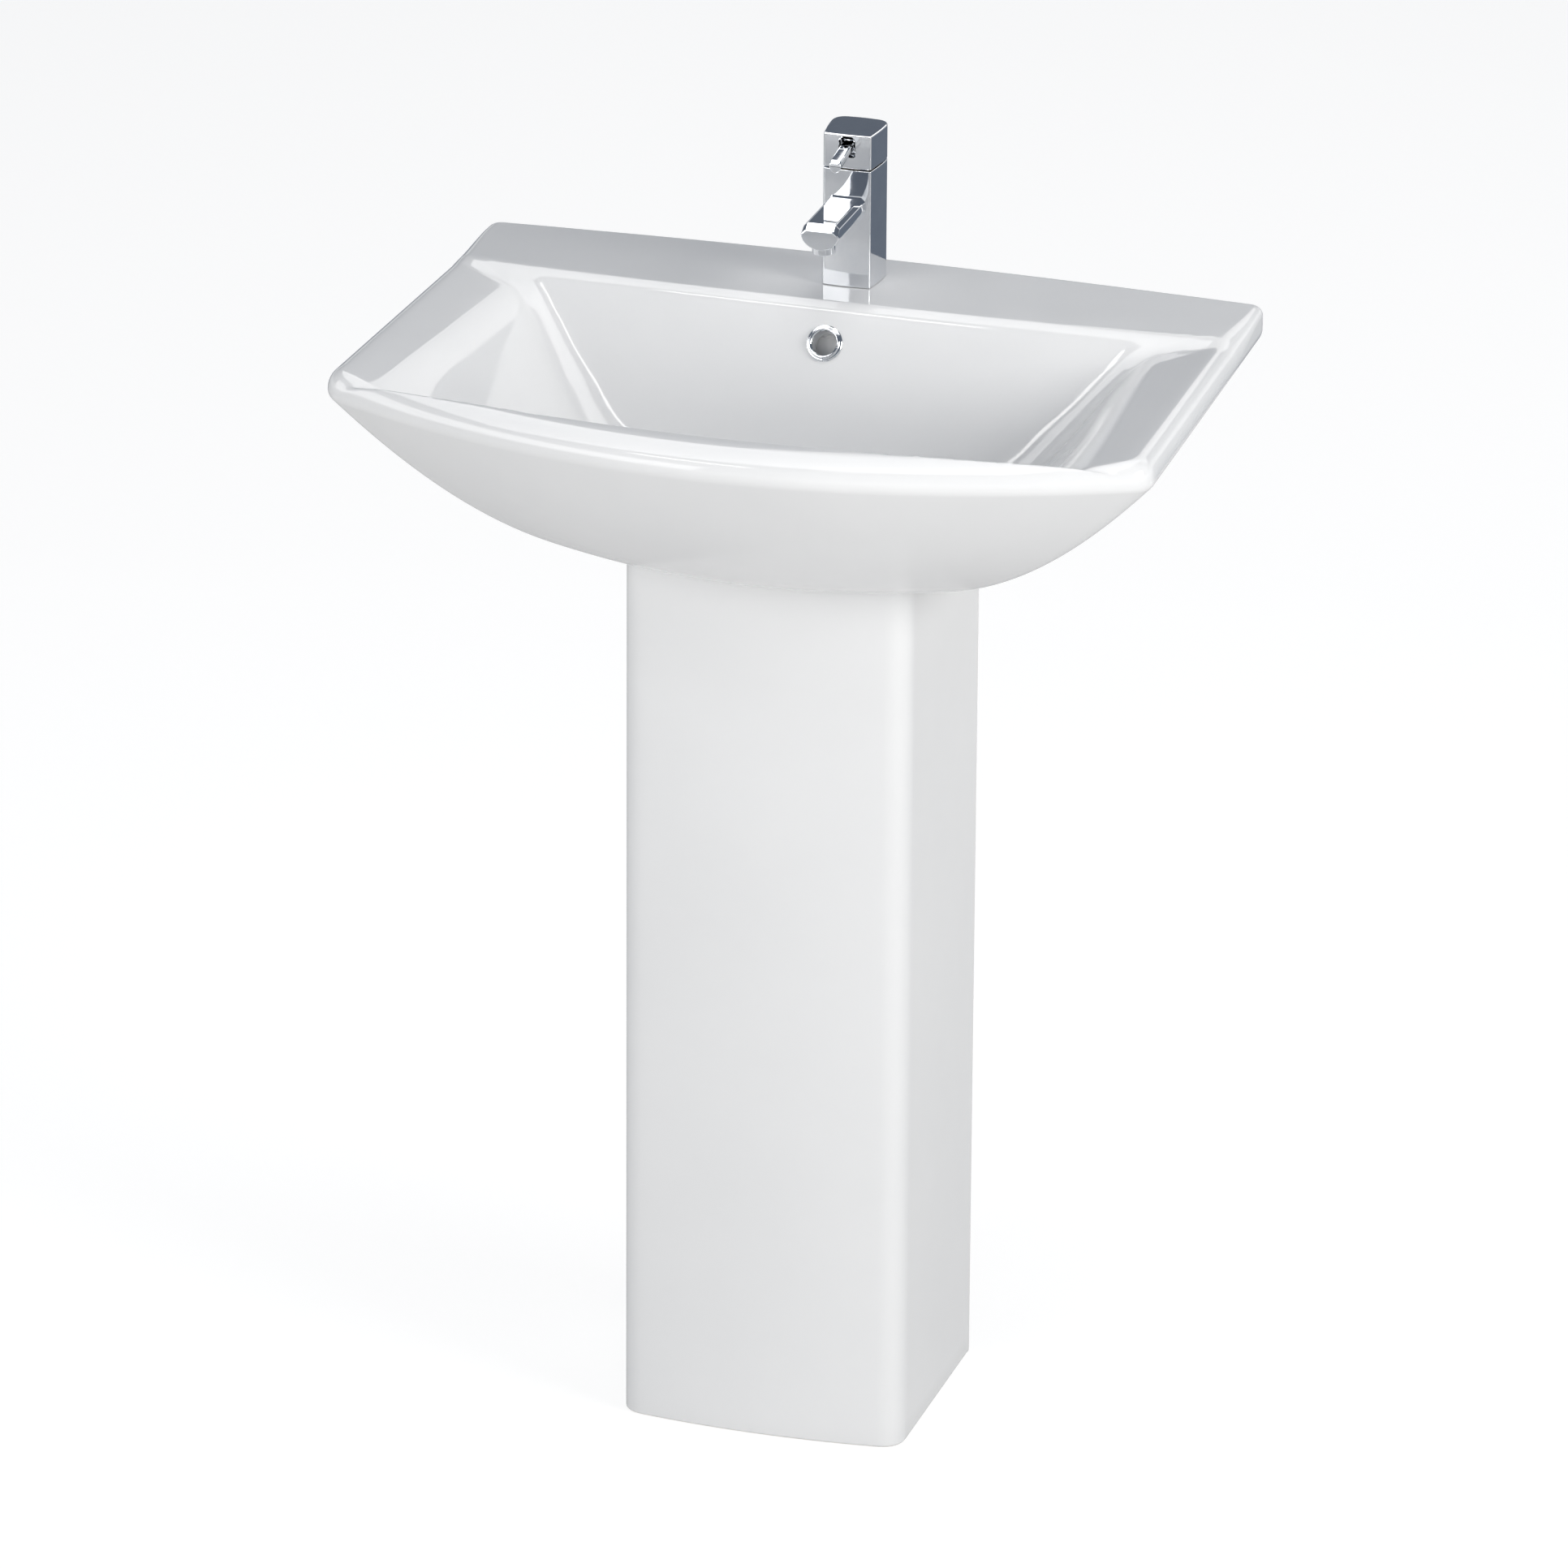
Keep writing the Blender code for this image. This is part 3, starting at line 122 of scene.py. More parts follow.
CAMERA_TURN = (17.2409, 22.0817, 0.3598)
CAMERA_TARGET = (0, 0.04415, 0.43)
CAMERA_SHIFT = (-0.013, 0.0351)
CAMERA_DISTANCE = 8.1391
CAMERA_LENS = 260.8696

# Stage

FLOOR_HALF = 9
FLOOR_GLOW = 0.80
BOUNCE_GLOW = 0.37
CARD_GLOW = 2.6
DARK_CARD_GLOW = 0.8
WRAP_RADIUS = 3.2
WRAP_ANGLES = (-17, -34, -52, -70, -86)
WARM = (1.0, 0.985, 0.958)
HORIZON = (0.88, 0.90, 0.92)
SLATE = (0.13, 0.15, 0.185)


# Materials

class Look:
    """A Principled material with short ways to add procedural detail."""

    def __init__(self, name, colour, metallic=0.0, roughness=0.3, **sockets):
        self.made = bpy.data.materials.new(name)
        self.made.use_nodes = True
        self.nodes = self.made.node_tree.nodes
        self.links = self.made.node_tree.links
        self.shader = self.nodes["Principled BSDF"]
        self.shader.inputs["Base Color"].default_value = (*colour, 1)
        self.shader.inputs["Metallic"].default_value = metallic
        self.shader.inputs["Roughness"].default_value = roughness
        for socket, value in sockets.items():
            self.shader.inputs[socket.replace("_", " ")].default_value = value
        self.made.diffuse_color = (*colour, 1)
        self.place = self.nodes.new("ShaderNodeTexCoord").outputs["Object"]
        self.bump = None

    def node(self, kind, **sockets):
        made = self.nodes.new("ShaderNode" + kind)
        for socket, value in sockets.items():
            made.inputs[socket.replace("_", " ")].default_value = value
        return made

    def stretched(self, scale):
        mapping = self.node("Mapping", Scale=scale)
        self.links.new(self.place, mapping.inputs["Vector"])
        return mapping.outputs["Vector"]

    def noise(self, scale, detail=3.0, rough=0.5, stretch=None):
        node = self.node("TexNoise", Scale=scale, Detail=detail, Roughness=rough)
        self.links.new(self.stretched(stretch) if stretch else self.place, node.inputs["Vector"])
        return node.outputs["Fac"]

    def spread(self, value, low, high, to_low=0.0, to_high=1.0):
        node = self.node("MapRange", From_Min=low, From_Max=high, To_Min=to_low, To_Max=to_high)
        self.links.new(value, node.inputs["Value"])
        return node.outputs["Result"]

    def mix(self, factor, first, second):
        node = self.node("Mix")
        node.data_type = "RGBA"
        self.links.new(factor, node.inputs["Factor"])
        for socket, colour in ((node.inputs[6], first), (node.inputs[7], second)):
            if isinstance(colour, tuple):
                socket.default_value = (*colour, 1)
            else:
                self.links.new(colour, socket)
        return node.outputs[2]

    def colour(self, output):
        self.links.new(output, self.shader.inputs["Base Color"])

    def roughness(self, output):
        self.links.new(output, self.shader.inputs["Roughness"])

    def mottled(self, dark, light, low, high, *noise):
        """Colour that drifts between two shades."""
        self.colour(self.mix(self.spread(self.noise(*noise), low, high), dark, light))

    def relief(self, height, distance, strength=1.0):
        node = self.node("Bump", Strength=strength, Distance=distance)
        self.links.new(height, node.inputs["Height"])
        if self.bump:
            self.links.new(self.bump, node.inputs["Normal"])
        self.bump = node.outputs["Normal"]
        self.links.new(self.bump, self.shader.inputs["Normal"])


def glazed_ceramic():
    """White glaze: faint mottling under the gloss and the slight waviness of a fired surface."""
    look = Look("white_glaze", (0.80, 0.81, 0.82), 0.0, 0.07, IOR=1.52)
    look.mottled((0.782, 0.785, 0.789), (0.806, 0.808, 0.811), 0.3, 0.7, 7, 3, 0.55)
    look.roughness(look.spread(look.noise(22, 4, 0.6), 0.3, 0.7, 0.045, 0.085))
    look.relief(look.noise(11, 1.5, 0.4), 0.0004, 0.35)
    return look.made


def bare_ceramic():
    """Unglazed fired clay of cut feet and hidden seats."""
    look = Look("bare_clay", (0.74, 0.72, 0.68), 0.0, 0.75)
    look.mottled((0.70, 0.675, 0.63), (0.79, 0.775, 0.745), 0.35, 0.7, 380, 4, 0.7)
    look.relief(look.noise(900, 3, 0.7), 0.0002, 0.6)
    return look.made


def chrome():
    """Polished plating: slight haze that varies, and the faintest ripple."""
    look = Look("polished_chrome", (0.80, 0.815, 0.835), 1.0, 0.06)
    look.mottled((0.775, 0.79, 0.815), (0.82, 0.83, 0.845), 0.35, 0.7, 60, 4, 0.6)
    look.roughness(look.spread(look.noise(95, 5, 0.65), 0.35, 0.7, 0.035, 0.085))
    look.relief(look.noise(55, 1.0, 0.4), 0.00005, 0.25)
    return look.made


def machined(name, dark, light, roughness, stretch):
    """Turned or drawn metal: fine tool lines along one direction and a patchy tarnish."""
    look = Look(name, light, 1.0, roughness)
    look.mottled(dark, light, 0.3, 0.72, 90, 4, 0.65)
    lines = look.noise(700, 3, 0.6, stretch)
    look.roughness(look.spread(lines, 0.3, 0.7, roughness - 0.07, roughness + 0.10))
    look.relief(lines, 0.00006, 0.5)
    return look.made


def rubber():
    """Moulded black rubber: fine grain with a dusty bloom."""
    look = Look("black_rubber", (0.03, 0.03, 0.033), 0.0, 0.62)
    look.mottled((0.022, 0.022, 0.025), (0.062, 0.062, 0.066), 0.45, 0.75, 120, 5, 0.7)
    look.relief(look.noise(1500, 2, 0.5), 0.00008, 0.5)
    return look.made


def moulded(name, dark, light, roughness):
    """Moulded plastic: slight colour drift, a fine spark-eroded grain and flow marks."""
    look = Look(name, light, 0.0, roughness)
    look.mottled(dark, light, 0.3, 0.7, 26, 3, 0.55, (1, 1, 0.35))
    look.roughness(look.spread(look.noise(240, 4, 0.6), 0.3, 0.7, roughness - 0.06, roughness + 0.07))
    look.relief(look.noise(1300, 2, 0.5), 0.00004, 0.4)
    return look.made


LOOKS = {
    "ceramic": glazed_ceramic(),
    "clay": bare_ceramic(),
    "chrome": chrome(),
    "brass": machined("machined_brass", (0.56, 0.40, 0.17), (0.76, 0.58, 0.28), 0.28, (0.1, 0.1, 4)),
    "copper": machined("drawn_copper", (0.52, 0.26, 0.16), (0.80, 0.44, 0.30), 0.24, (4, 4, 0.1)),
    "steel": machined("plated_steel", (0.50, 0.51, 0.53), (0.68, 0.69, 0.71), 0.30, (0.1, 0.1, 4)),
    "rubber": rubber(),
    "white_plastic": moulded("white_plastic", (0.74, 0.745, 0.74), (0.82, 0.825, 0.825), 0.30),
    "grey_plastic": moulded("grey_plastic", (0.24, 0.26, 0.29), (0.33, 0.35, 0.38), 0.42),
    "disc": moulded("lapped_ceramic", (0.86, 0.86, 0.82), (0.92, 0.92, 0.89), 0.16),
}


# Curves

def curve(a, b, c, t):
    """Point at t on the curve that leaves a towards b and arrives at c."""
    return (1 - t) ** 2 * a + 2 * t * (1 - t) * b + t ** 2 * c


def towards(a, b, distance):
    return a + (b - a) / np.linalg.norm(b - a) * distance


def eased_step(share):
    """From 0 to 1 with level ends."""
    return share * share * (3 - 2 * share)


# Mesh building

def mesh_object(name, verts, faces, sharp=40):
    """Object with its faces turned outwards, shaded smooth up to an angle."""
    verts = np.asarray(verts, float)
    volume = 0.0
    for face in faces:
        a = verts[face[0]]
        for i in range(1, len(face) - 1):
            volume += np.dot(a, np.cross(verts[face[i]], verts[face[i + 1]]))
    if volume < 0:
        faces = [tuple(reversed(face)) for face in faces]
    mesh = bpy.data.meshes.new(name)
    mesh.from_pydata([tuple(v) for v in verts], [], [tuple(int(i) for i in f) for f in faces])
    made = bpy.data.objects.new(name, mesh)
    scene.collection.objects.link(made)
    shade(made, sharp)
    return made


def shade(piece, sharp):
    mesh = piece.data
    mesh.polygons.foreach_set("use_smooth", [True] * len(mesh.polygons))
    mesh.set_sharp_from_angle(angle=math.radians(sharp))
    mesh.update()


def ring_faces(rings, count, closed):
    faces = []
    last = rings if closed else rings - 1
    for j in range(last):
        a, b = j * count, (j + 1) % rings * count
        for i in range(count):
            k = (i + 1) % count
            faces.append((a + i, a + k, b + k, b + i))
    return faces


def loft(name, rings, closed=False, sharp=40):
    count = len(rings[0])
    faces = ring_faces(len(rings), count, closed)
    if not closed:
        faces.append(tuple(range(count - 1, -1, -1)))
        faces.append(tuple(range((len(rings) - 1) * count, len(rings) * count)))
    return mesh_object(name, np.vstack(rings), faces, sharp)


def eased(profile, radius):
    """Profile with each corner rounded off."""
    out = []
    points = [np.array(p, float) for p in profile]
    for i, here in enumerate(points):
        if here[0] < 1e-7:
            out.append(here)
            continue
        a = points[i - 1] - here
        b = points[(i + 1) % len(points)] - here
        la, lb = np.linalg.norm(a), np.linalg.norm(b)
        if np.dot(a, b) / (la * lb) < -0.97:
            out.append(here)
            continue
        back = min(radius, 0.42 * la, 0.42 * lb)
        p, q = here + a / la * back, here + b / lb * back
        for t in (0.0, 0.25, 0.5, 0.75, 1.0):
            out.append(curve(p, here, q, t))
    return out


def lathe(name, profile, centre=(0, 0, 0), axis=(0, 0, 1), count=96, hexagon=None, ease=0.0003):
    """Closed (radius, height) profile turned about an axis, six-sided from the hexagon radius out."""
    profile = eased(profile, ease) if ease else [np.array(p, float) for p in profile]
    turn = 2 * np.pi * np.arange(count) / count
    sixth = (turn % (math.pi / 3)) - math.pi / 6
    verts, starts = [], []
    for radius, height in profile:
        starts.append(len(verts))
        if radius < 1e-7:
            verts.append((0, 0, height))
            continue
        share = 0.0
        if hexagon:
            share = min(1.0, max(0.0, (radius - hexagon) / 0.0004 + 1))
        r = radius * (1 + share * (1 / np.cos(sixth) - 1))
        verts.extend(np.c_[r * np.cos(turn), r * np.sin(turn), np.full(count, height)])
    faces = []
    for j in range(len(profile)):
        k = (j + 1) % len(profile)
        a, b = starts[j], starts[k]
        flat_a, flat_b = profile[j][0] < 1e-7, profile[k][0] < 1e-7
        for i in range(count):
            n = (i + 1) % count
            if flat_a and flat_b:
                break
            if flat_a:
                faces.append((a, b + i, b + n))
            elif flat_b:
                faces.append((a + n, a + i, b))
            else:
                faces.append((a + i, b + i, b + n, a + n))
    verts = np.array([tuple(v) for v in verts], float)
    w = np.array(axis, float) / np.linalg.norm(axis)
    u = np.array([1.0, 0, 0]) if abs(w[2]) > 0.999 else np.cross([0, 0, 1.0], w)
    u = u / np.linalg.norm(u)
    v = np.cross(w, u)
    verts = np.array(centre) + verts[:, :1] * u + verts[:, 1:2] * v + verts[:, 2:3] * w
    return mesh_object(name, verts, faces)


def tube_rings(path, radius, count):
    path = np.asarray(path, float)
    step = np.gradient(path, axis=0)
    step /= np.linalg.norm(step, axis=1)[:, None]
    u = np.array([1.0, 0, 0]) if abs(step[0][0]) < 0.9 else np.array([0, 0, 1.0])
    turn = 2 * np.pi * np.arange(count) / count
    rings = []
    for point, w in zip(path, step):
        u = u - w * np.dot(u, w)
        u /= np.linalg.norm(u)
        rings.append(point + radius * (np.outer(np.cos(turn), u) + np.outer(np.sin(turn), np.cross(w, u))))
    return rings


def band(inner, outer, low, high):
    """Profile of a plain ring, or of a solid cylinder from an inner radius of 0."""
    return [(inner, low), (outer, low), (outer, high), (inner, high)]


def cylinder(centre, axis, radius, length, count=96):
    return lathe("tool", band(0, radius, 0, length), centre, axis, count, None, 0)


def box(low, high):
    x0, y0, z0 = low
    x1, y1, z1 = high
    bottom = [(x0, y0, z0), (x1, y0, z0), (x1, y1, z0), (x0, y1, z0)]
    return loft("tool", [bottom, [(x, y, z1) for x, y, _ in bottom]])


def settle(piece):
    """The piece's modifiers made part of its mesh."""
    graph = bpy.context.evaluated_depsgraph_get()
    mesh = bpy.data.meshes.new_from_object(piece.evaluated_get(graph), depsgraph=graph)
    piece.modifiers.clear()
    piece.data = mesh


def shape(piece, operation, *tools, sharp=40):
    """Boolean with tools that are then removed."""
    for tool in tools:
        modifier = piece.modifiers.new("shape", "BOOLEAN")
        modifier.operation = operation
        modifier.solver = "EXACT"
        modifier.object = tool
    settle(piece)
    for tool in tools:
        bpy.data.objects.remove(tool, do_unlink=True)
    shade(piece, sharp)
    return piece


def cut(piece, *tools, sharp=40):
    return shape(piece, "DIFFERENCE", *tools, sharp=sharp)


def join(piece, *tools, sharp=40):
    return shape(piece, "UNION", *tools, sharp=sharp)


def even_normals(piece):
    modifier = piece.modifiers.new("normals", "WEIGHTED_NORMAL")
    modifier.mode = "FACE_AREA"
    modifier.weight = 60
    modifier.keep_sharp = True


def finish(piece, look, body, *nodes, slot=None):
    """Material, the CAD nodes it stands for, and the body it rides on; the slot argument is not used."""
    piece.data.materials.clear()
    piece.data.materials.append(LOOKS[look])
    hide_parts(*nodes)
    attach(piece, body)
    return piece


def turned(name, look, node, profile, centre, body="sink", **how):
    """A finished piece that is only a profile turned about its axis."""
    return finish(lathe(name, profile, centre, **how), look, body, node)


# Outlines in plan

def bezier(a, b, c, count):
    return curve(a, b, c, (np.arange(count) / count)[:, None])


def level(plan, height):
    """A plan's points at one height, or each at its own."""
    return np.c_[plan, np.broadcast_to(height, len(plan))]


def basin_outline(half_front, half_back, corner_y, bow, front_round, back_round, counts):
    """Closed outline anticlockwise from the middle of its bowed front, straight at the back."""
    n_front, n_side, n_back, n_corner = counts

    def front(x):
        return corner_y - bow * (1 - (x / half_front) ** 2)

    xs = np.linspace(0, half_front - front_round, n_front // 2 + 1)
    bowed = np.c_[xs, front(xs)]
    ys = np.linspace(corner_y + front_round, WALL_Y - back_round, n_side + 1)
    side = np.c_[half_front + (half_back - half_front) * (ys - corner_y) / (WALL_Y - corner_y), ys]
    back = level(np.linspace(half_back - back_round, 0, n_back // 2 + 1), WALL_Y)
    half = np.vstack([
        bowed[:-1], bezier(bowed[-1], np.array([half_front, corner_y]), side[0], n_corner),
        side[:-1], bezier(side[-1], np.array([half_back, WALL_Y]), back[0], n_corner), back,
    ])
    return np.vstack([half, (half * [-1, 1])[-2:0:-1]])


def rect_outline(half, y_low, y_high, rounding, n_side, n_corner):
    h, r = half, rounding
    corners = [(-h, y_high), (-h, y_low), (h, y_low), (h, y_high)]
    rows = []
    for i in range(4):
        before, here, after = (np.array(corners[j % 4], float) for j in (i - 1, i, i + 1))
        start, end, leave = towards(here, before, r), towards(here, after, r), towards(after, here, r)
        rows.append(bezier(start, here, end, n_corner))
        share = np.arange(n_side)[:, None] / n_side
        rows.append(end + (leave - end) * share)
    return np.vstack(rows)


def outward_normals(points):
    step = np.roll(points, -1, 0) - np.roll(points, 1, 0)
    normal = np.c_[step[:, 1], -step[:, 0]]
    return normal / np.linalg.norm(normal, axis=1)[:, None]


def ray_lengths(points, angles):
    """Distance from the waste to a closed outline along each angle."""
    offset = points - [0, WASTE_Y]
    a = np.arctan2(offset[:, 1], offset[:, 0])
    order = np.argsort(a)
    a = a[order]
    ring = offset[order]
    first = np.searchsorted(a, angles) % len(a)
    second = (first - 1) % len(a)
    p, q = ring[second], ring[first]
    direction = np.c_[np.cos(angles), np.sin(angles)]
    edge = q - p
    cross = direction[:, 0] * edge[:, 1] - direction[:, 1] * edge[:, 0]
    return (p[:, 0] * edge[:, 1] - p[:, 1] * edge[:, 0]) / cross


# Basin

def smooth_min(a, b, k):
    h = np.clip(k - np.abs(a - b), 0, None) / k
    return np.minimum(a, b) - h * h * k / 4


def smooth_max(a, b, k):
    return -smooth_min(-a, -b, k)


def bowl_height(x, y):
    """Top surface: flat deck, riser, back wall, tilted shoulders, side walls, front wall and floor."""
    ax = np.abs(x)
    run = DECK_EDGE_Y + 0.20 * x * x - y
    back = smooth_min(-run, -RISER - BACK_SLOPE * (run - RISER), 0.0014)
    back = smooth_min(0 * x, back, 0.004)
    crease = CREASE_X + 0.0145 * np.clip(0.098 - y, -0.02, 0.25) / 0.18
    shoulder = smooth_min(0 * x, SHOULDER_SLOPE * (ax - SHOULDER_X), 0.003)
    start = SHOULDER_SLOPE * (crease - SHOULDER_X)
    inward = crease - ax
    steep = start - 1.25 * inward
    share = np.clip((y + 0.13) / 0.21, 0, 1)
    gentle = start - 0.012 - 0.040 * eased_step(share) - 0.62 * inward
    side = smooth_min(shoulder, smooth_max(steep, gentle, 0.03), 0.016)
    inward = y - (FRONT_EDGE_Y + 0.6 * x * x)
    front = smooth_max(-3.0 * inward, -0.040 - 1.1 * inward, 0.03)
    front = smooth_min(0 * x, front, 0.006)
    inner = np.clip((0.242 - ax) / 0.024, 0, 1)
    round_off = 0.0012 + 0.017 * eased_step(inner)
    z = smooth_max(back, side, round_off + np.clip(-0.3 * np.maximum(back, side), 0, 0.022))
    z = smooth_max(z, front, np.clip(-0.6 * np.maximum(z, front), 0.0012, 0.050))
    floor = -FLOOR_DROP + 0.035 * np.hypot(x, y - WASTE_Y)
    z = np.minimum(smooth_max(z, floor, 0.03), 0)
    return z - CROWN * (x / (WIDTH / 2)) ** 2


def belly_outlines(counts):
    rim = basin_outline(WIDTH / 2, BACK_WIDTH / 2, CORNER_Y, BOW, 0.012, 0.010, counts)
    base = basin_outline(BASE_HALF_FRONT, BASE_HALF_BACK, BASE_FRONT_Y + BASE_BOW, BASE_BOW,
                         0.030, 0.012, (160, 80, 160, 24))
    return rim, base


def belly_profile(t):
    a = t * math.pi / 2
    return (1 - np.cos(a)) ** BELLY_INWARD, np.sin(a) ** BELLY_ROUND


def underside(x, down):
    """Height on the belly, whose top edge follows the rim's crown."""
    return -RIM_BAND - CROWN * (x / (WIDTH / 2)) ** 2 * (1 - down) - (BELLY_DROP - RIM_BAND) * down


def belly_height(x, y):
    """Outer underside of the basin at a point in plan."""
    rim, base = belly_outlines((80, 40, 60, 8))
    angle = np.array([math.atan2(y - WASTE_Y, x)])
    far, near = ray_lengths(rim, angle)[0], ray_lengths(base, angle)[0]
    r = math.hypot(x, y - WASTE_Y)
    if r <= near + 1e-6 or far - near < 1e-4:
        return -BELLY_DROP
    s = min(1.0, (far - r) / (far - near))
    down = math.sin(math.acos(max(0.0, 1 - s ** (1 / BELLY_INWARD)))) ** BELLY_ROUND
    return underside(x, down)


def ball_envelope(radii, heights, reach, upper):
    """Surface a given distance off a profile, as the envelope of balls rolled along it."""
    gap = radii[:, None] - radii[None, :]
    lift = np.sqrt(np.clip(reach ** 2 - gap ** 2, 0, None))
    way = 1 if upper else -1
    return way * np.where(np.abs(gap) <= reach, way * heights[None, :] + lift, -np.inf).max(axis=1)


def close_rings(direction, low, high, count):
    """Radii along each ray, closer together where the bowl bends."""
    share = np.linspace(0, 1, 700)
    r = low + (high - low)[:, None] * share[None, :]
    x = r * direction[:, :1]
    y = WASTE_Y + r * direction[:, 1:2]
    height = bowl_height(x, y)
    step = (r[:, 1] - r[:, 0])[:, None]
    slope = np.gradient(height, axis=1) / step
    bend = np.abs(np.gradient(slope, axis=1)) / step / (1 + slope ** 2) ** 1.5
    weight = 1 + np.minimum(bend / 9, 11)
    for _ in range(2):
        wide = np.pad(weight, ((0, 0), (3, 3)), mode="edge")
        weight = sum(wide[:, i:i + 700] for i in range(7)) / 7
    for _ in range(2):
        weight = (np.roll(weight, 1, 0) + 2 * weight + np.roll(weight, -1, 0)) / 4
    total = np.cumsum(weight, axis=1)
    total = (total - total[:, :1]) / (total[:, -1:] - total[:, :1])
    target = np.linspace(0, 1, count)
    return np.array([np.interp(target, total[i], r[i]) for i in range(len(r))]).T


def rim_rounding(rim, normals, direction):
    """Width along the ray and depth of the rounded edge: broad in front, tight at the back."""
    share = eased_step(np.clip((WALL_Y - 0.012 - rim[:, 1]) / 0.07, 0, 1))
    middle = eased_step(np.clip((0.292 - np.abs(rim[:, 0])) / 0.085, 0, 1))
    middle = middle * np.clip(-normals[:, 1], 0, 1) ** 2
    wide = RIM_ROUND + share * (0.006 + 0.011 * middle)
    return wide / np.clip((normals * direction).sum(axis=1), 0.7, 1), RIM_ROUND + share * 0.009


def hollow_underside(far, near, foot, direction, normals):
    """Along each ray, how far the hollow reaches, and its (radius, height) tables of roof and floor."""
    roof_at, floor_at, most = [], [], []
    for i in range(len(far)):
        r = np.arange(0.02, far[i] + 1e-9, 0.0012)
        x = r * direction[i, 0]
        y = WASTE_Y + r * direction[i, 1]
        slant = 1 / max(0.6, float(np.dot(normals[i], direction[i])))
        rib = np.clip((0.034 - np.abs(x)) / 0.010, 0, 1) * np.clip((y - 0.018) / 0.01, 0, 1)
        rib = rib * np.clip((0.108 - y) / 0.012, 0, 1)
        roof = ball_envelope(r, bowl_height(x, y), SHELL + 0.018 * rib, False)
        t = np.linspace(0, 1, 200)
        s, down = belly_profile(t)
        line_r = (far[i] * (1 - s) + near[i] * s)[::-1]
        line_z = (-RIM_BAND - (BELLY_DROP - RIM_BAND) * down)[::-1]
        line_r = line_r + np.arange(len(line_r)) * 1e-9
        outer = np.interp(r, line_r, line_z, left=-BELLY_DROP)
        outer = np.where(r < near[i] - 1e-4, -BELLY_DROP, outer)
        floor = ball_envelope(r, outer, SHELL * 0.92, True)
        floor = np.where(r > far[i] - SHELL * slant, 1.0, floor)
        ok = (r <= foot[i] + 0.004) | (roof - floor > 0.009)
        stop = np.argmin(ok) if not ok.all() else len(r)
        most.append(max(r[stop - 1], foot[i] + 0.004))
        roof_at.append((r, roof))
        floor_at.append((r, np.minimum(floor, roof - 0.008)))
    most = np.array(most)
    smooth = most
    for _ in range(14):
        smooth = np.minimum(most, (np.roll(smooth, 1) + smooth + np.roll(smooth, -1)) / 3)
    return smooth, roof_at, floor_at


def basin_rings(counts, bowl_count, belly_count):
    rim, base = belly_outlines(counts)
    normals = outward_normals(rim)
    offset = rim - [0, WASTE_Y]
    angles = np.arctan2(offset[:, 1], offset[:, 0])
    far = np.hypot(offset[:, 0], offset[:, 1])
    direction = offset / far[:, None]
    near = ray_lengths(base, angles)
    back = np.abs(rim[:, 1] - WALL_Y) < 1e-9
    near = np.where(back, np.minimum(near, far), near)
    foot = ray_lengths(rect_outline(OPEN_HALF, OPEN_FRONT_Y, OPEN_BACK_Y, 0.022, 40, 16), angles)

    def ring(radius, height):
        plan = np.array([0, WASTE_Y]) + direction * np.broadcast_to(radius, far.shape)[:, None]
        z = height(plan[:, 0], plan[:, 1]) if callable(height) else height
        return np.c_[plan, np.broadcast_to(z, far.shape) + RIM_Z]

    wide, deep = rim_rounding(rim, normals, direction)
    rim_inner = far - wide - 0.001
    rings = [ring(WASTE_HOLE, -BOSS_DROP + 0.001), ring(WASTE_HOLE, -SEAT_DROP - 0.001),
             ring(WASTE_HOLE + 0.0008, -SEAT_DROP), ring(SEAT_RADIUS - 0.0008, -SEAT_DROP),
             ring(SEAT_RADIUS, -SEAT_DROP + 0.0008)]
    for out, down in ((0.0004, 0.0022), (0.0007, 0.0010), (0.0013, 0.0003), (0.0022, 0.0)):
        rings.append(ring(SEAT_RADIUS + out, lambda x, y, d=down: bowl_height(x, y) - d))
    for radius in close_rings(direction, SEAT_RADIUS + 0.0030, rim_inner, bowl_count):
        rings.append(ring(radius, bowl_height))
    for turn in range(5, 91, 5):
        a = math.radians(turn)
        fall = deep * (1 - math.cos(a))
        rings.append(ring(far - wide * (1 - math.sin(a)), lambda x, y, d=fall: bowl_height(x, y) - d))

    # The upright band, eased into the belly
    ease = 0.0038

    def belly(t):
        s, down = belly_profile(t)
        radius = far * (1 - s) + near * s
        return ring(radius, underside(radius * direction[:, 0], down))

    after = 0.20
    start = belly(0) + [0, 0, ease]
    corner = belly(0)
    end = belly(after)
    share = ease / np.maximum(np.linalg.norm(end - corner, axis=1), 1e-6)
    end = corner + (end - corner) * np.minimum(share, 1)[:, None]
    rings.append((rings[-1] + start) / 2)
    for t in np.linspace(0, 1, 9):
        rings.append(curve(start, corner, end, t))
    for t in np.linspace(after, 1, belly_count):
        rings.append(belly(t))
    rings.append(ring(foot + 0.001, -BELLY_DROP))
    rings.append(ring(foot, -BELLY_DROP + 0.001))

    smooth, roof_at, floor_at = hollow_underside(far, near, foot, direction, normals)

    def under(radius, table):
        z = np.array([np.interp(radius[i], *table[i]) for i in range(len(far))])
        return ring(radius, z)

    steps = np.linspace(0, 1, 12)
    for share in steps:
        rings.append(under(foot + (smooth - foot) * share, floor_at))
    for share in steps[::-1]:
        rings.append(under(foot + (smooth - foot) * share, roof_at))
    for share in np.linspace(0.94, 0, 16):
        rings.append(under(BOSS_RADIUS + 0.002 + (foot - BOSS_RADIUS - 0.002) * share, roof_at))
    rings.append(ring(BOSS_RADIUS, -BOSS_DROP + 0.001))
    rings.append(ring(BOSS_RADIUS - 0.001, -BOSS_DROP))
    rings.append(ring(WASTE_HOLE + 0.001, -BOSS_DROP))
    return rings


